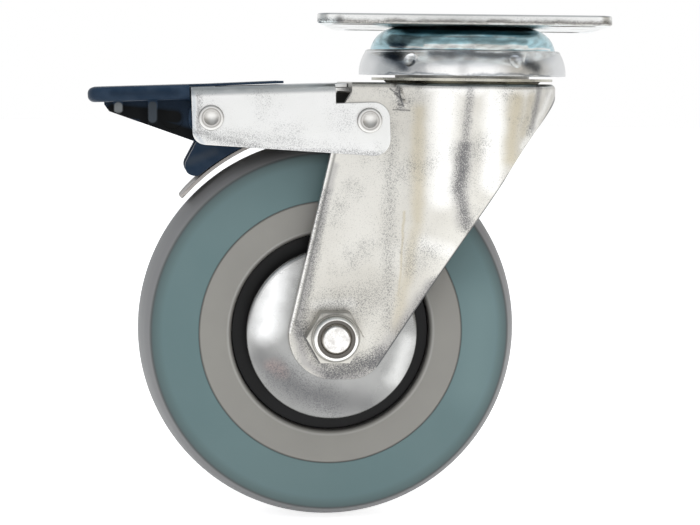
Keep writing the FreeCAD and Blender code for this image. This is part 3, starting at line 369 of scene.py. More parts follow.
def newMaterial(name):
    # place is the object's own coordinates, turned so that X is the fork's and Y is along the axle
    material = bpy.data.materials.new(name)
    material.use_nodes = True
    tree = material.node_tree
    own = add(tree, "TexCoord")
    place = add(tree, "Mapping", vector_type="POINT")
    place.inputs["Rotation"].default_value = (0, 0, -forkTurn)
    join(tree, own, "Object", place, "Vector")
    return material, tree, tree.nodes["Principled BSDF"], place


def mixColor(tree, low, high, factorNode, factorSocket):
    node = add(tree, "Mix", data_type="RGBA")
    for socket, value in ((6, low), (7, high)):
        if isinstance(value, tuple):
            node.inputs[socket].default_value = (*value, 1)
        else:
            tree.links.new(value, node.inputs[socket])
    tree.links.new(factorNode.outputs[factorSocket], node.inputs[0])
    return node.outputs[2]


def spread(tree, source, low, high):
    # a value that runs from 0 to 1, stretched between two levels
    node = add(tree, "MapRange", _3=low, _4=high)
    tree.links.new(source, node.inputs[0])
    return node


def strokeMask(tree, place, strokes):
    # strokes: from, to, half width and amount, in the fork's millimetres
    total = None
    for (fromX, fromZ), (toX, toZ), half, amount in strokes:
        node = useGroup(tree, "stroke", From=(fromX * mm, 0, fromZ * mm), To=(toX * mm, 0, toZ * mm),
                        Half_Width=half * mm, Amount=amount)
        join(tree, place, 0, node, "Vector")
        if total:
            more = add(tree, "Math", operation="MAXIMUM")
            join(tree, total, 0, more, 0)
            join(tree, node, 0, more, 1)
            node = more
        total = node
    return total


def ringTint(tree, place, color, tint, socket, stops, centre):
    # tints a band by its radius from an axis along Y, or by its distance along it, in millimetres
    about = useGroup(tree, "ring", Centre=centre)
    join(tree, place, 0, about, "Vector")
    reach = add(tree, "Math", operation="ABSOLUTE")
    join(tree, about, socket, reach, 0)
    last = stops[-1][0]
    share = add(tree, "Math", operation="MULTIPLY", _1=1 / (last * mm))
    join(tree, reach, 0, share, 0)
    bands = ramp(tree, [(reachAt / last, value) for reachAt, value in stops])
    join(tree, share, 0, bands, 0)
    return mixColor(tree, color, tint, bands, "Color")


def paintedInsideShade(tree, place, color, half, level, slope, rearEnd):
    # painted shade: the hidden inner faces of a pressing are made dark
    split = add(tree, "SeparateXYZ")
    join(tree, place, 0, split, 0)
    side = add(tree, "Math", operation="ABSOLUTE")
    join(tree, split, "Y", side, 0)
    within = add(tree, "Math", operation="LESS_THAN", _1=half * mm)
    join(tree, side, 0, within, 0)
    height = add(tree, "Math", operation="MULTIPLY_ADD", _1=-slope)
    join(tree, split, "X", height, 0)
    join(tree, split, "Z", height, 2)
    below = add(tree, "Math", operation="LESS_THAN", _1=level * mm)
    join(tree, height, 0, below, 0)
    before = add(tree, "Math", operation="LESS_THAN", _1=rearEnd * mm)
    join(tree, split, "X", before, 0)
    both = add(tree, "Math", operation="MULTIPLY")
    join(tree, within, 0, both, 0)
    join(tree, below, 0, both, 1)
    every = add(tree, "Math", operation="MULTIPLY")
    join(tree, both, 0, every, 0)
    join(tree, before, 0, every, 1)
    # the colour of the painted shade and how strongly it covers
    insideShadeColor, insideShadeShare = (0.10, 0.10, 0.10), 0.9
    return mixColor(tree, color, insideShadeColor, spread(tree, every.outputs[0], 0.0, insideShadeShare), 0)


def paintedColor(tree, place, wavering, color, look):
    # paint strokes waver, lines don't, and they carry painted highlights and painted shade as well as
    # stains and wear; rings and the painted shade on hidden faces come over both
    for tint, strokes in look.get("paint", ()):
        color = mixColor(tree, color, tint, strokeMask(tree, wavering, strokes), 0)
    for tint, strokes in look.get("lines", ()):
        color = mixColor(tree, color, tint, strokeMask(tree, place, strokes), 0)
    for tint, socket, stops, centre in look.get("rings", ()):
        color = ringTint(tree, place, color, tint, socket, stops, centre)
    if "inside" in look:
        color = paintedInsideShade(tree, place, color, *look["inside"])
    return color


def platedMetal(name, look):
    # zinc or nickel plate: cloudy tone, painted strokes of stain, painted highlight and painted shade,
    # dense flecks, pebbled skin
    look = {**zincLook, **look}
    material, tree, shader, place = newMaterial(name)
    skin = useGroup(tree, "skin", Grain=look["grain"], Wave=look["wave"], Wave_Share=look["waveShare"])
    tone = useGroup(tree, "patches", Scale=look["toneScale"], Low=0.35, High=0.68)
    cloud = useGroup(tree, "patches", Scale=look["cloudScale"], Low=0.42, High=0.72)
    for node in (skin, tone, cloud):
        join(tree, place, 0, node, "Vector")
    # the strokes waver a little
    waver = add(tree, "TexNoise", _Scale=look["waverScale"], _Detail=3.0)
    join(tree, place, 0, waver, "Vector")
    shift = add(tree, "VectorMath", operation="MULTIPLY_ADD", _1=(look["waver"] * mm,) * 3)
    join(tree, waver, "Color", shift, 0)
    join(tree, place, 0, shift, 2)
    wavering = add(tree, "VectorMath", operation="SUBTRACT", _1=(look["waver"] * 0.5 * mm,) * 3)
    join(tree, shift, 0, wavering, 0)
    color = mixColor(tree, look["color"], look["second"], tone, "Mask")
    color = paintedColor(tree, place, wavering, color, look)
    density = spread(tree, cloud.outputs["Mask"], *look["density"])
    if "coarse" in look:
        extra = strokeMask(tree, wavering, look["coarse"])
        more = add(tree, "Math", operation="MAXIMUM")
        join(tree, density, 0, more, 0)
        join(tree, extra, 0, more, 1)
        density = more
    weight = spread(tree, density.outputs[0], *look["fleckShare"])
    for scale in (look["fleckScale"], look["fleckScale"] * look["coarserShare"]):
        flecks = useGroup(tree, "flecks", Scale=scale)
        join(tree, place, 0, flecks, "Vector")
        join(tree, density, 0, flecks, "Density")
        strength = add(tree, "Math", operation="MULTIPLY")
        join(tree, flecks, 0, strength, 0)
        join(tree, weight, 0, strength, 1)
        color = mixColor(tree, color, look["fleck"], strength, 0)
    tree.links.new(color, shader.inputs["Base Color"])
    rough = spread(tree, tone.outputs["Mask"], *look["rough"])
    join(tree, rough, "Result", shader, "Roughness")
    bump = add(tree, "Bump", _Strength=look["bump"], _Distance=look["skinHeight"] * mm)
    join(tree, skin, "Height", bump, "Height")
    if "crumple" in look:
        # where the sheet was gathered as it was drawn
        gathered = strokeMask(tree, place, look["crumple"])
        folds = add(tree, "TexNoise", _Scale=look["foldScale"], _Detail=1.0)
        join(tree, place, 0, folds, "Vector")
        height = add(tree, "Math", operation="MULTIPLY")
        join(tree, gathered, 0, height, 0)
        join(tree, folds, "Fac", height, 1)
        coarse = add(tree, "Bump", _Strength=look["foldBump"], _Distance=look["foldHeight"] * mm)
        join(tree, height, 0, coarse, "Height")
        join(tree, bump, "Normal", coarse, "Normal")
        bump = coarse
    join(tree, bump, "Normal", shader, "Normal")
    shader.inputs["Metallic"].default_value = 1.0
    return material


mouldedSkin = {"waveShare": 0.3, "height": 0.02 * mm}


def mouldedPlastic(name, look):
    # satin moulding: faint cloudy tone, a very fine texture, and strokes and rings of wear, dark joints,
    # painted highlight and painted shade
    material, tree, shader, place = newMaterial(name)
    skin = useGroup(tree, "skin", Grain=look["grain"], Wave=look["wave"],
                    Wave_Share=mouldedSkin["waveShare"])
    tone = useGroup(tree, "patches", Scale=look["toneScale"], Low=0.3, High=0.7)
    for node in (skin, tone):
        join(tree, place, 0, node, "Vector")
    color = mixColor(tree, look["color"], look["second"], tone, "Mask")
    color = paintedColor(tree, place, place, color, look)
    tree.links.new(color, shader.inputs["Base Color"])
    rough = spread(tree, tone.outputs["Mask"], *look["rough"])
    join(tree, rough, "Result", shader, "Roughness")
    bump = add(tree, "Bump", _Strength=look["bump"], _Distance=mouldedSkin["height"])
    join(tree, skin, "Height", bump, "Height")
    join(tree, bump, "Normal", shader, "Normal")
    shader.inputs["Specular IOR Level"].default_value = look["gloss"]
    return material


# colours run from 0 to 1; strokes, waver and heights are in millimetres of the fork's own frame
zincLook = {"color": (0.66, 0.645, 0.605), "second": (0.59, 0.57, 0.525), "fleck": (0.12, 0.12, 0.125),
            "grain": 3200.0, "wave": 120.0, "waveShare": 0.10, "toneScale": 45.0, "cloudScale": 110.0,
            "waver": 2.0, "waverScale": 170.0, "density": (0.1, 0.5), "fleckScale": 6000.0,
            "coarserShare": 0.55, "fleckShare": (0.10, 0.9), "rough": (0.24, 0.34), "bump": 0.5,
            "skinHeight": 0.03, "foldScale": 620.0, "foldBump": 0.8, "foldHeight": 0.9}
tanTone = (0.54, 0.49, 0.385)
# painted shade along edges, low on the leg and round the rivets; on the fork's crown it also makes a dark
# streak that is partly stain and partly painted reflection
greyShadeAndStain = (0.28, 0.27, 0.28)
# painted highlights and painted reflections of the bright surroundings
paintedHighlight = (0.84, 0.83, 0.805)
# painted shade in the gathered creases, along the edges and beside the nut
paintedShade = (0.10, 0.10, 0.10)
forkLook = {
    "density": (0.25, 0.6), "rough": (0.30, 0.40),
    # the fork's paint: white strokes are painted highlights, tan strokes are stains, grey strokes are
    # painted shade and a partly stained streak, dark strokes are painted shade in the creases
    "paint": [
        (paintedHighlight, [((4.6, -17), (4.6, -42), 4.6, 1.2), ((-8.3, -17), (-8.5, -46), 5.4, 1.1),
                     ((-13, -58), (-6, -60), 3.4, 0.6), ((21.5, -19), (13, -33), 1.6, 0.8),
                     ((-12, -18.5), (16, -18.5), 3.0, 0.9)]),
        (tanTone, [((10.8, -21), (9.4, -36), 3.6, 0.9), ((-14.4, -24), (-14.2, -52), 2.8, 0.8),
                   ((-14.2, -52), (-19, -80), 2.8, 0.6), ((14.8, -20), (12.6, -30), 2.4, 0.6),
                   ((-17.6, -50), (-18.6, -72), 0.6, 0.8)]),
        (greyShadeAndStain, [((-1.8, -19), (-2.7, -33), 2.4, 0.35), ((-2.7, -33), (-3.9, -44), 4.2, 0.5),
                    ((-3.9, -44), (-2.5, -52), 3.6, 0.45), ((17.4, -18), (15.6, -28), 1.5, 0.5),
                    ((-35.6, -38), (-45.0, -80), 1.6, 0.45), ((-45.2, -81), (-43, -89), 2.4, 0.6),
                    ((-43, -89), (-36, -93.4), 2.4, 0.6), ((-36, -93.4), (-27, -92.4), 2.0, 0.55),
                    ((-26, -91), (-11, -69), 2.4, 0.5), ((-22, -86), (-15, -76), 4.0, 0.35)]),
        (paintedShade, [((-19.1, -18.8), (-18.0, -22.9), 0.4, 0.9),
                    ((-20.4, -19.6), (-17.8, -21.1), 0.4, 0.8),
                    ((-21.5, -18.6), (-19.5, -19.6), 0.35, 0.8),
                    ((-20.6, -23.8), (-16.6, -24.1), 0.35, 0.8)]),
        (paintedHighlight, [((-40, -74.0), (-31, -74.0), 2.4, 0.5)]),
    ],
    # lines of painted shade along the edges and below the nut, and a painted highlight down the leg's left
    # edge
    "lines": [
        (paintedShade, [((24.9, -19.2), (14.6, -32.2), 0.55, 1.3), ((14.6, -32.2), (9.2, -40), 0.55, 1.4),
                    ((9.2, -40), (-23.8, -90), 0.6, 1.4), ((-42.8, -82.2), (-39.0, -88.7), 0.8, 1.0),
                    ((-34.9, -32), (-45.4, -79), 0.55, 0.6)]),
        (paintedHighlight, [((-36.7, -35), (-47.0, -81), 0.8, 1.8)]),
    ],
    "coarse": [((-1.8, -19), (-2.7, -33), 2.8, 0.7), ((-2.7, -33), (-3.9, -44), 4.6, 0.95),
               ((-3.9, -44), (-1.5, -54), 4.2, 0.85), ((17.0, -18), (14.5, -30), 2.4, 0.7),
               ((-21.3, -28), (-21.6, -80), 5.4, 0.62), ((-38.0, -45), (-44.0, -80), 4.4, 0.75),
               ((-44, -80), (-36, -92), 6.5, 0.9), ((-36, -92), (-22, -88), 7.5, 1.0),
               ((-24, -92), (-9, -68), 3.8, 0.85), ((-38, -76), (-24, -72), 14.0, 0.62),
               ((-19.5, -18.5), (-18.6, -23), 3.0, 0.9)],
    "crumple": [((-20.0, -18.6), (-18.6, -22.4), 1.6, 1.0)],
    # painted shade on the fork's inner faces
    "inside": (16.6, -19.9, 0.0, 13.0),
}
housingLook = {
    "color": (0.79, 0.79, 0.785), "second": (0.75, 0.75, 0.735), "density": (0.05, 0.5),
    "fleck": (0.20, 0.20, 0.205), "rough": (0.30, 0.38),
    # painted reflection of the cool overhead on the top fold, a painted highlight on the left edge, painted
    # shade along the lower and left edges and round the rivets
    "paint": [
        ((0.42, 0.46, 0.48), [((-72, -18.9), (-37.3, -16.9), 1.6, 0.8),
                              ((-37.3, -16.9), (-22, -16.0), 1.6, 0.8)]),
        ((0.58, 0.61, 0.64), [((-72.0, -19), (-71.9, -30), 0.9, 0.9),
                              ((-71.9, -30), (-69.2, -33.4), 0.7, 0.8)]),
        (greyShadeAndStain, [((-69, -34.2), (-55, -35.1), 0.6, 0.9), ((-55, -35.1), (-22, -35.9), 0.6, 0.8),
                    ((-71.0, -21), (-70.9, -31), 0.4, 0.4), ((-67.2, -26.2), (-67.1, -26.2), 3.9, 0.6),
                    ((-26.9, -26.6), (-26.8, -26.6), 3.9, 0.55)]),
    ],
    "coarse": [((-71, -30), (-55, -34.0), 3.6, 0.75), ((-55, -34.2), (-22, -35.2), 2.2, 0.7),
               ((-70.4, -21), (-70.4, -30), 2.0, 0.7), ((-66, -30.5), (-45, -32.5), 4.6, 0.55),
               ((-45, -32.5), (-30, -34), 3.6, 0.4), ((-37, -24), (-33, -33), 5.0, 0.3)],
    # painted shade on the housing's inner faces
    "inside": (19.2, -17.0, 0.04, 0.0),
}
plateLook = {
    "color": (0.56, 0.64, 0.66), "second": (0.66, 0.71, 0.73), "density": (0.0, 0.35),
    "rough": (0.16, 0.26),
    # a painted highlight along the top of the front edge, a brown-grey band below it, and painted shade at
    # the rounded corners
    "paint": [((0.90, 0.90, 0.89), [((-45, -0.2), (45, -0.2), 3.2, 1.0)]),
              ((0.44, 0.41, 0.37), [((-36, -2.05), (37, -2.05), 1.3, 0.85)]),
              ((0.13, 0.13, 0.13), [((-36.6, -1.8), (-36.4, -1.8), 1.8, 0.9),
                                    ((36.6, -1.8), (36.4, -1.8), 1.8, 0.9)])],
    "coarse": [((-45, -2.0), (45, -2.0), 1.5, 0.8)],
}
cupLook = {
    "color": (0.50, 0.72, 0.80), "second": (0.42, 0.62, 0.69), "density": (0.0, 0.2),
    "rough": (0.12, 0.2), "waver": 1.2,
    # painted reflections: two dark bands on the upper dome, bright lines lower down and a bright strip just
    # above the ring
    "paint": [((0.05, 0.14, 0.17), [((-17, -4.0), (17, -4.0), 1.3, 1.0)]),
              ((0.16, 0.27, 0.31), [((-13, -6.1), (13, -6.1), 1.1, 0.8)]),
              ((0.90, 0.92, 0.92), [((-13, -7.6), (13, -7.6), 0.8, 2.0),
                                    ((-8, -5.1), (2, -5.1), 0.35, 1.0),
                                    ((4, -5.0), (10, -5.0), 0.35, 0.8),
                                    ((-21, -8.0), (21, -8.0), 0.5, 1.0)])],
}
ringLook = {
    "color": (0.78, 0.79, 0.80), "second": (0.70, 0.72, 0.73), "density": (0.0, 0.35),
    "rough": (0.16, 0.26), "waver": 2.8, "cloudScale": 180.0,
    # painted reflections: dark patches and a dark band above, a bright band low in the middle and bright
    # glints on the dimples; a dark line of painted shade along the bottom lip
    "paint": [((0.14, 0.17, 0.21), [((-20.8, -10.9), (-18.6, -12.8), 2.6, 0.95),
                                    ((-12, -9.6), (10, -9.6), 2.0, 0.8),
                                    ((12.6, -11.4), (15.8, -13.3), 2.4, 0.85),
                                    ((-24, -14.8), (20, -14.8), 0.5, 0.6)]),
              ((0.97, 0.97, 0.97), [((-12.0, -13.2), (10.0, -13.2), 1.9, 2.0),
                                    ((-25, -8.0), (22, -8.0), 0.4, 0.5),
                                    ((-15.8, -9.2), (-15.1, -11.2), 0.4, 1.0),
                                    ((12.2, -9.2), (11.6, -11.2), 0.4, 1.0)])],
    "coarse": [((-20.5, -9.6), (-19.0, -12.6), 3.0, 0.7), ((-12, -9.4), (10, -9.4), 2.0, 0.7),
               ((13.2, -11.8), (15.6, -13.3), 2.2, 0.8)],
}
guardLook = {
    "color": (0.26, 0.26, 0.255), "second": (0.34, 0.34, 0.335), "density": (0.0, 0.45),
    "rough": (0.2, 0.32), "bump": 0.5, "waver": 3.0,
    # painted reflection: bright upper left, darker lower part and lighter right side, with a reddish tint
    # low on the left
    "paint": [((0.80, 0.80, 0.80), [((-50, -66), (-53, -80), 6.5, 1.0)]),
              ((0.17, 0.17, 0.17), [((-54, -88), (-44, -97), 6.0, 0.85),
                                    ((-44, -97), (-26, -101), 6.5, 0.85)]),
              ((0.34, 0.26, 0.245), [((-51, -90), (-48.5, -92), 3.0, 0.6)]),
              ((0.60, 0.60, 0.59), [((-16, -84), (-19, -94), 4.0, 0.8)])],
    "coarse": [((-50, -92), (-36, -100), 9.0, 0.8)],
}
rivetLook = {"color": (0.80, 0.79, 0.77), "second": (0.72, 0.71, 0.69), "density": (0.0, 0.2),
             "rough": (0.40, 0.50), "bump": 0.2}


def rivetShadeRings(joint):
    # painted shade round the rivet that the joint turns on: a grey bowl over a paler floor, dark lines at
    # the bowl's edge and at the head's rim, and the rolled lip left bright
    x, y, z = joints[joint]["pos_m"]
    stops = [(0, 0.0), (1.4, 0.3), (2.1, 0.35), (2.35, 0.9), (2.6, 0), (3.0, 0), (3.25, 1.0)]
    return [((0.30, 0.28, 0.26), "Radius", stops, (-math.hypot(x, y), 0, z))]


finishes = {
    "forkZinc": platedMetal("forkZinc", forkLook),
    "housingZinc": platedMetal("housingZinc", housingLook),
    "plateZinc": platedMetal("plateZinc", plateLook),
    "cupZinc": platedMetal("cupZinc", cupLook),
    "ringZinc": platedMetal("ringZinc", ringLook),
    "washerZinc": platedMetal("washerZinc", {"color": (0.62, 0.60, 0.52), "second": (0.50, 0.49, 0.43),
                                             "density": (0.2, 0.8)}),
    "guardZinc": platedMetal("guardZinc", guardLook),
    "brightSteel": platedMetal("brightSteel", {"color": (0.86, 0.85, 0.82), "density": (0.0, 0.35)}),
    "nutZinc": platedMetal("nutZinc", {
        "color": (0.60, 0.59, 0.55), "second": (0.52, 0.50, 0.46), "density": (0.2, 0.6),
        "rough": (0.3, 0.4),
        # a painted highlight on the nut's collar and a dark line of painted shade round its edge
        "rings": [((0.95, 0.94, 0.91), "Radius", [(0, 1), (5.6, 1), (5.85, 0), (9, 0)], forkAxle),
                  ((0.16, 0.155, 0.14), "Radius",
                   [(0, 0), (5.8, 0), (6.05, 0.9), (6.5, 0), (9, 0)], forkAxle)]}),
    "boltSteel": platedMetal("boltSteel", {
        "color": (0.80, 0.79, 0.77), "second": (0.60, 0.58, 0.56), "toneScale": 700.0,
        "density": (0.0, 0.35),
        "rings": [((0.22, 0.20, 0.17), "Reach", [(0, 0), (3.3, 0), (3.6, 0.85), (5, 0.85), (6, 0), (8, 0)],
                   (forkAxle[0], boltEnd, forkAxle[2]))]}),
    "pivotNickel": platedMetal("pivotNickel", {**rivetLook, "rings": rivetShadeRings("brake_press")}),
    "rearNickel": platedMetal("rearNickel", {**rivetLook, "rings": rivetShadeRings("leaf_flex")}),
    "ballSteel": platedMetal("ballSteel", {"density": (0.0, 0.05), "rough": (0.08, 0.12), "bump": 0.05}),
    "springSteel": platedMetal("springSteel", {"color": (0.32, 0.30, 0.285), "second": (0.26, 0.245, 0.23),
                                               "rough": (0.35, 0.5)}),
    "rimPlastic": mouldedPlastic("rimPlastic", {
        "color": (0.285, 0.275, 0.255), "second": (0.315, 0.305, 0.28), "grain": 2200.0, "wave": 200.0,
        "toneScale": 40.0, "rough": (0.36, 0.44), "bump": 0.15, "gloss": 0.4,
        # painted shade in the hollow inside the rim's lip, a dark joint under the tyre, and a painted
        # highlight on the lip
        "rings": [((0.10, 0.095, 0.09), "Radius",
                   [(0, 1), (25.9, 1.0), (26.2, 0.3), (26.6, 0), (33.9, 0), (34.15, 0.7), (36, 0.7)],
                   forkAxle),
                  ((0.55, 0.54, 0.52), "Radius",
                   [(0, 0), (26.5, 0), (26.9, 0.5), (27.3, 0), (36, 0)], forkAxle)]}),
    "tyreRubber": mouldedPlastic("tyreRubber", {
        "color": (0.128, 0.205, 0.213), "second": (0.148, 0.225, 0.232), "grain": 1800.0, "wave": 120.0,
        "toneScale": 30.0, "rough": (0.5, 0.62), "bump": 0.2, "gloss": 0.4,
        # a grey tread, a dark line of painted shade at each shoulder, a dark joint at the rim, and a
        # lighter patch of painted light on the right side
        "rings": [((0.27, 0.27, 0.275), "Along", [(0, 1), (11.9, 1.0), (12.15, 0), (14, 0)], forkAxle),
                  ((0.05, 0.06, 0.06), "Along",
                   [(0, 0), (11.6, 0), (12.0, 0.8), (12.4, 0), (14, 0)], forkAxle),
                  ((0.05, 0.06, 0.06), "Radius", [(0, 1), (34.3, 1), (34.6, 0), (60, 0)], forkAxle)],
        "paint": [((0.175, 0.262, 0.27), [((4, -76), (2, -96), 12.0, 0.9)])]}),
    "blackNylon": mouldedPlastic("blackNylon", {
        "color": (0.004, 0.004, 0.005), "second": (0.007, 0.007, 0.007), "grain": 1500.0, "wave": 200.0,
        "toneScale": 60.0, "rough": (0.3, 0.4), "bump": 0.5, "gloss": 0.2}),
    "greyNylon": mouldedPlastic("greyNylon", {
        "color": (0.13, 0.12, 0.105), "second": (0.17, 0.155, 0.14), "grain": 1500.0, "wave": 200.0,
        "toneScale": 200.0, "rough": (0.35, 0.45), "bump": 0.5, "gloss": 0.4}),
    "pedalPlastic": mouldedPlastic("pedalPlastic", {
        "color": (0.012, 0.030, 0.060), "second": (0.026, 0.046, 0.078), "grain": 1400.0, "wave": 160.0,
        "toneScale": 260.0, "rough": (0.34, 0.46), "bump": 0.35, "gloss": 0.12,
        # a worn pale left end, a faint painted highlight along the top, a darker band along the middle,
        # painted shadow under the pad, painted light on the two ribs' faces and a painted highlight on the
        # cam shoe
        "paint": [((0.17, 0.165, 0.16), [((-99.9, -18.5), (-99.9, -21.5), 2.2, 1.0)]),
                  ((0.07, 0.085, 0.10), [((-97.5, -18.0), (-73, -17.0), 0.8, 0.6)]),
                  ((0.006, 0.014, 0.028), [((-92, -20.6), (-76, -20.2), 1.6, 0.5)]),
                  ((0.001, 0.002, 0.003), [((-92, -25.0), (-76, -26.5), 2.6, 2.0),
                                           ((-84, -27), (-72, -31), 2.6, 1.5)]),
                  ((0.20, 0.21, 0.215), [((-90.6, -23.8), (-90.6, -24.7), 1.3, 4.0)]),
                  ((0.05, 0.06, 0.072), [((-82.0, -23.6), (-82.0, -26.8), 1.4, 4.0)]),
                  ((0.05, 0.064, 0.085), [((-72.5, -38.0), (-66, -35.4), 1.8, 0.7)])]}),
}
print("finishes made:", len(finishes))


easedPieces = {
    "top_plate": ("plateZinc", "plate_zinc", 0.0),
    "upper_race_cup": ("cupZinc", "plate_zinc", 0.0),
    "dust_ring": ("ringZinc", "ring_zinc", 0.0),
    "dust_washer": ("washerZinc", "ring_zinc", 0.0),
    "kingpin": ("brightSteel", "bright_steel", 0.0),
    "lower_race_cup": ("brightSteel", "bright_steel", 0.0),
    "fork": ("forkZinc", "fork_zinc", 0.3),
    "brake_housing": ("housingZinc", "fork_zinc", 0.2),
    "axle_bolt": ("boltSteel", "bright_steel", 0.15),
    "axle_nut": ("nutZinc", "bright_steel", 0.15),
    "nut_insert": ("greyNylon", "black_nylon", 0.0),
    "axle_sleeve": ("brightSteel", "bright_steel", 0.0),
    "thread_guard_near": ("guardZinc", "guard_zinc", 0.0),
    "thread_guard_far": ("guardZinc", "guard_zinc", 0.0),
    "pivot_rivet": ("pivotNickel", "rivet_nickel", 0.0),
    "rear_rivet": ("rearNickel", "rivet_nickel", 0.0),
    "brake_pedal": ("pedalPlastic", "pedal_plastic", 0.0),
    "brake_leaf": ("springSteel", "spring_steel", 0.12),
}
for node, (finish, slot, ease) in easedPieces.items():
    easedCopy(node, finishes[finish], ease)
for node in ("upper_balls", "lower_balls"):
    easedCopy(node, finishes["ballSteel"], 0.0)
print("pressings and turned metal eased:", len(easedPieces))


# closed sections: radius, place along the axle and rounding, in millimetres
wheel = {
    "tyre": [(34.25, -13.3, 0.25), (46.9, -12.1, 0.8), (48.3, -9.6, 0.8), (49.2, -6.6, 1.0),
             (49.8, -3.2, 1.0), (50.0, 0.0, 0.0), (49.8, 3.2, 1.0), (49.2, 6.6, 1.0), (48.3, 9.6, 0.8),
             (46.9, 12.1, 0.8), (34.25, 13.3, 0.25), (37.9, 7.6, 0.0), (37.9, -7.6, 0.0)],
    "rim": [(9.0, -8.6, 0.0), (13.0, -8.6, 0.3), (13.0, -3.5, 0.5), (25.9, -3.5, 0.5), (25.9, -13.4, 1.5),
            (34.2, -13.4, 0.25), (38.0, -7.5, 0.0), (38.0, 7.5, 0.0), (34.2, 13.4, 0.25), (25.9, 13.4, 1.5),
            (25.9, 3.5, 0.5), (13.0, 3.5, 0.5), (13.0, 8.6, 0.3), (9.0, 8.6, 0.0)],
}
tyre = turnedPiece("tyreTread", wheel["tyre"], 192)
settle(tyre, "tyre", finishes["tyreRubber"])
rim = turnedPiece("rimMoulding", wheel["rim"], 160)
settle(rim, "wheel_rim", finishes["rimPlastic"])
for node in ("hub_bush_near", "hub_bush_far"):
    easedCopy(node, finishes["blackNylon"], 0.2)
print("wheel turned")


studio = {
    # the floor: its size and how far back it lies in metres, its gap under the tyre in millimetres
    "floorColor": (0.9, 0.9, 0.9), "floorGlow": 0.78, "floorRough": 0.8,
    "floorSize": 6, "floorBehind": 1.5, "floorGap": 0.05,
    # the panels all face the aim: place and size in metres, power in watts
    "worldStrength": 1.05, "aim": (-0.03, 0, -0.06),
    "panels": {
        "keyPanel": ((-0.55, -0.75, 0.45), (0.6, 0.6), 1.0),
        "fillPanel": ((0.75, -0.55, 0.1), (0.5, 0.8), 1.5),
        "topPanel": ((0.1, -0.25, 0.8), (0.5, 0.5), 3.5),
    },
    # bearing from behind on the left, through the camera at 0.5, to behind on the right
    "sides": [(0.0, 0.85), (0.16, 0.8), (0.25, (0.42, 0.44, 0.45)), (0.36, 0.5), (0.43, 1.0), (0.487, 1.0),
              (0.495, 0.6), (0.509, 0.6), (0.517, 1.0), (0.60, 1.0), (0.66, (0.46, 0.44, 0.40)),
              (0.76, (0.46, 0.44, 0.40)), (0.84, 0.8), (1.0, 0.85)],
    "levels": [(0.0, 0.9), (0.45, 0.95), (0.5, 1.0), (0.62, 1.0), (0.72, (0.66, 0.68, 0.70)),
               (0.82, (0.50, 0.53, 0.55)), (1.0, (0.55, 0.57, 0.58))],
}


def makeFloor():
    deselectAll()
    place = (0, studio["floorBehind"], floorLevel - studio["floorGap"] * mm)
    bpy.ops.mesh.primitive_plane_add(size=studio["floorSize"], location=place)
    floor = bpy.context.view_layer.objects.active
    floor.name = "studioFloor"
    material, tree, shader, _ = newMaterial("paleFloor")
    shader.inputs["Base Color"].default_value = (*studio["floorColor"], 1)
    shader.inputs["Roughness"].default_value = studio["floorRough"]
    shader.inputs["Emission Color"].default_value = (1, 1, 1, 1)
    # the camera and reflections see it as white paper, yet the object's shadow stays on it
    path = add(tree, "LightPath")
    seen = add(tree, "Math", operation="MAXIMUM")
    join(tree, path, "Is Camera Ray", seen, 0)
    join(tree, path, "Is Glossy Ray", seen, 1)
    share = add(tree, "Math", operation="MULTIPLY", _1=studio["floorGlow"])
    join(tree, seen, 0, share, 0)
    join(tree, share, 0, shader, "Emission Strength")
    dress(floor, material)


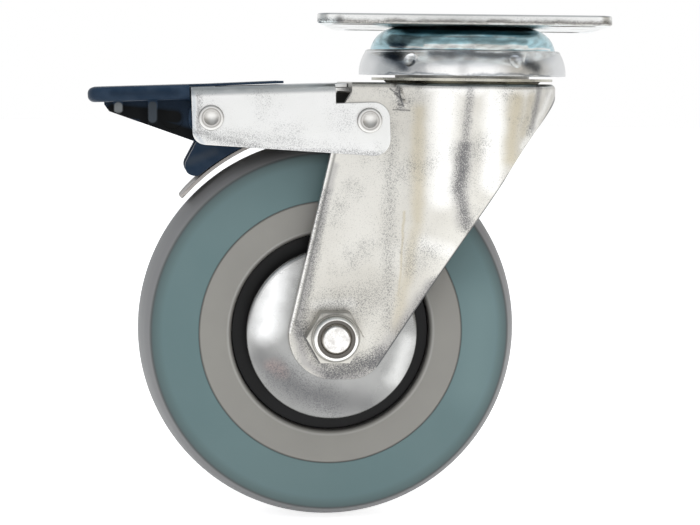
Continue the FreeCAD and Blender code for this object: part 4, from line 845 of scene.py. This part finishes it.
def makeWorld():
    # a bright studio: white in front and behind, a narrow dark gap where the camera stands,
    # warm grey far right, cool grey overhead; the camera itself sees plain white
    world = bpy.data.worlds.new("lightTent")
    bpy.context.scene.world = world
    world.use_nodes = True
    tree = world.node_tree
    back = tree.nodes["Background"]
    place = add(tree, "TexCoord")
    split = add(tree, "SeparateXYZ")
    join(tree, place, "Generated", split, 0)
    front = add(tree, "Math", operation="MULTIPLY", _1=-1.0)
    join(tree, split, "Y", front, 0)
    bearing = add(tree, "Math", operation="ARCTAN2")
    join(tree, split, "X", bearing, 0)
    join(tree, front, 0, bearing, 1)
    around = add(tree, "MapRange", _1=-math.pi, _2=math.pi)
    join(tree, bearing, 0, around, 0)
    sides = ramp(tree, studio["sides"])
    join(tree, around, 0, sides, 0)
    height = add(tree, "MapRange", _1=-1.0, _2=1.0)
    join(tree, split, "Z", height, 0)
    levels = ramp(tree, studio["levels"])
    join(tree, height, 0, levels, 0)
    tone = add(tree, "Mix", data_type="RGBA", blend_type="MULTIPLY", _0=1.0)
    join(tree, sides, "Color", tone, 6)
    join(tree, levels, "Color", tone, 7)
    path = add(tree, "LightPath")
    color = mixColor(tree, tone.outputs[2], (1.0, 1.0, 1.0), path, "Is Camera Ray")
    tree.links.new(color, back.inputs["Color"])
    power = add(tree, "MapRange", _3=studio["worldStrength"], _4=1.0)
    join(tree, path, "Is Camera Ray", power, 0)
    join(tree, power, "Result", back, "Strength")


def areaLight(name, place, size, power):
    # lights the part softly and is seen neither by the camera nor in reflections
    deselectAll()
    bpy.ops.object.light_add(type="AREA", location=place)
    lamp = bpy.context.view_layer.objects.active
    lamp.name = name
    lamp.data.shape = "RECTANGLE"
    lamp.data.size, lamp.data.size_y = size
    lamp.data.energy = power
    lamp.rotation_euler = (Vector(studio["aim"]) - Vector(place)).to_track_quat("-Z", "Y").to_euler()
    lamp.visible_camera = False
    lamp.visible_glossy = False


# the camera: distances in millimetres, angles in degrees
view = {"aim": (-29.13, 0.0, -65.34), "distance": 531.9, "yaw": -2.556, "pitch": 5.299, "roll": 0.713,
        "lens": 101.75, "sensor": 36, "near": 10}


def makeCamera():
    yaw, pitch = math.radians(view["yaw"]), math.radians(view["pitch"])
    look = Vector((math.sin(yaw) * math.cos(pitch), math.cos(yaw) * math.cos(pitch), -math.sin(pitch)))
    place = (Vector(view["aim"]) - look * view["distance"]) * mm
    bpy.ops.object.camera_add(location=place)
    camera = bpy.context.view_layer.objects.active
    turn = look.to_track_quat("-Z", "Y") @ Quaternion((0, 0, 1), math.radians(view["roll"]))
    camera.rotation_euler = turn.to_euler()
    camera.data.lens = view["lens"]
    camera.data.sensor_width = view["sensor"]
    camera.data.clip_start = view["near"] * mm
    bpy.context.scene.camera = camera


makeFloor()
makeWorld()
for name, (place, size, power) in studio["panels"].items():
    areaLight(name, place, size, power)
makeCamera()
bpy.context.scene.view_settings.view_transform = "Standard"
print("studio set")
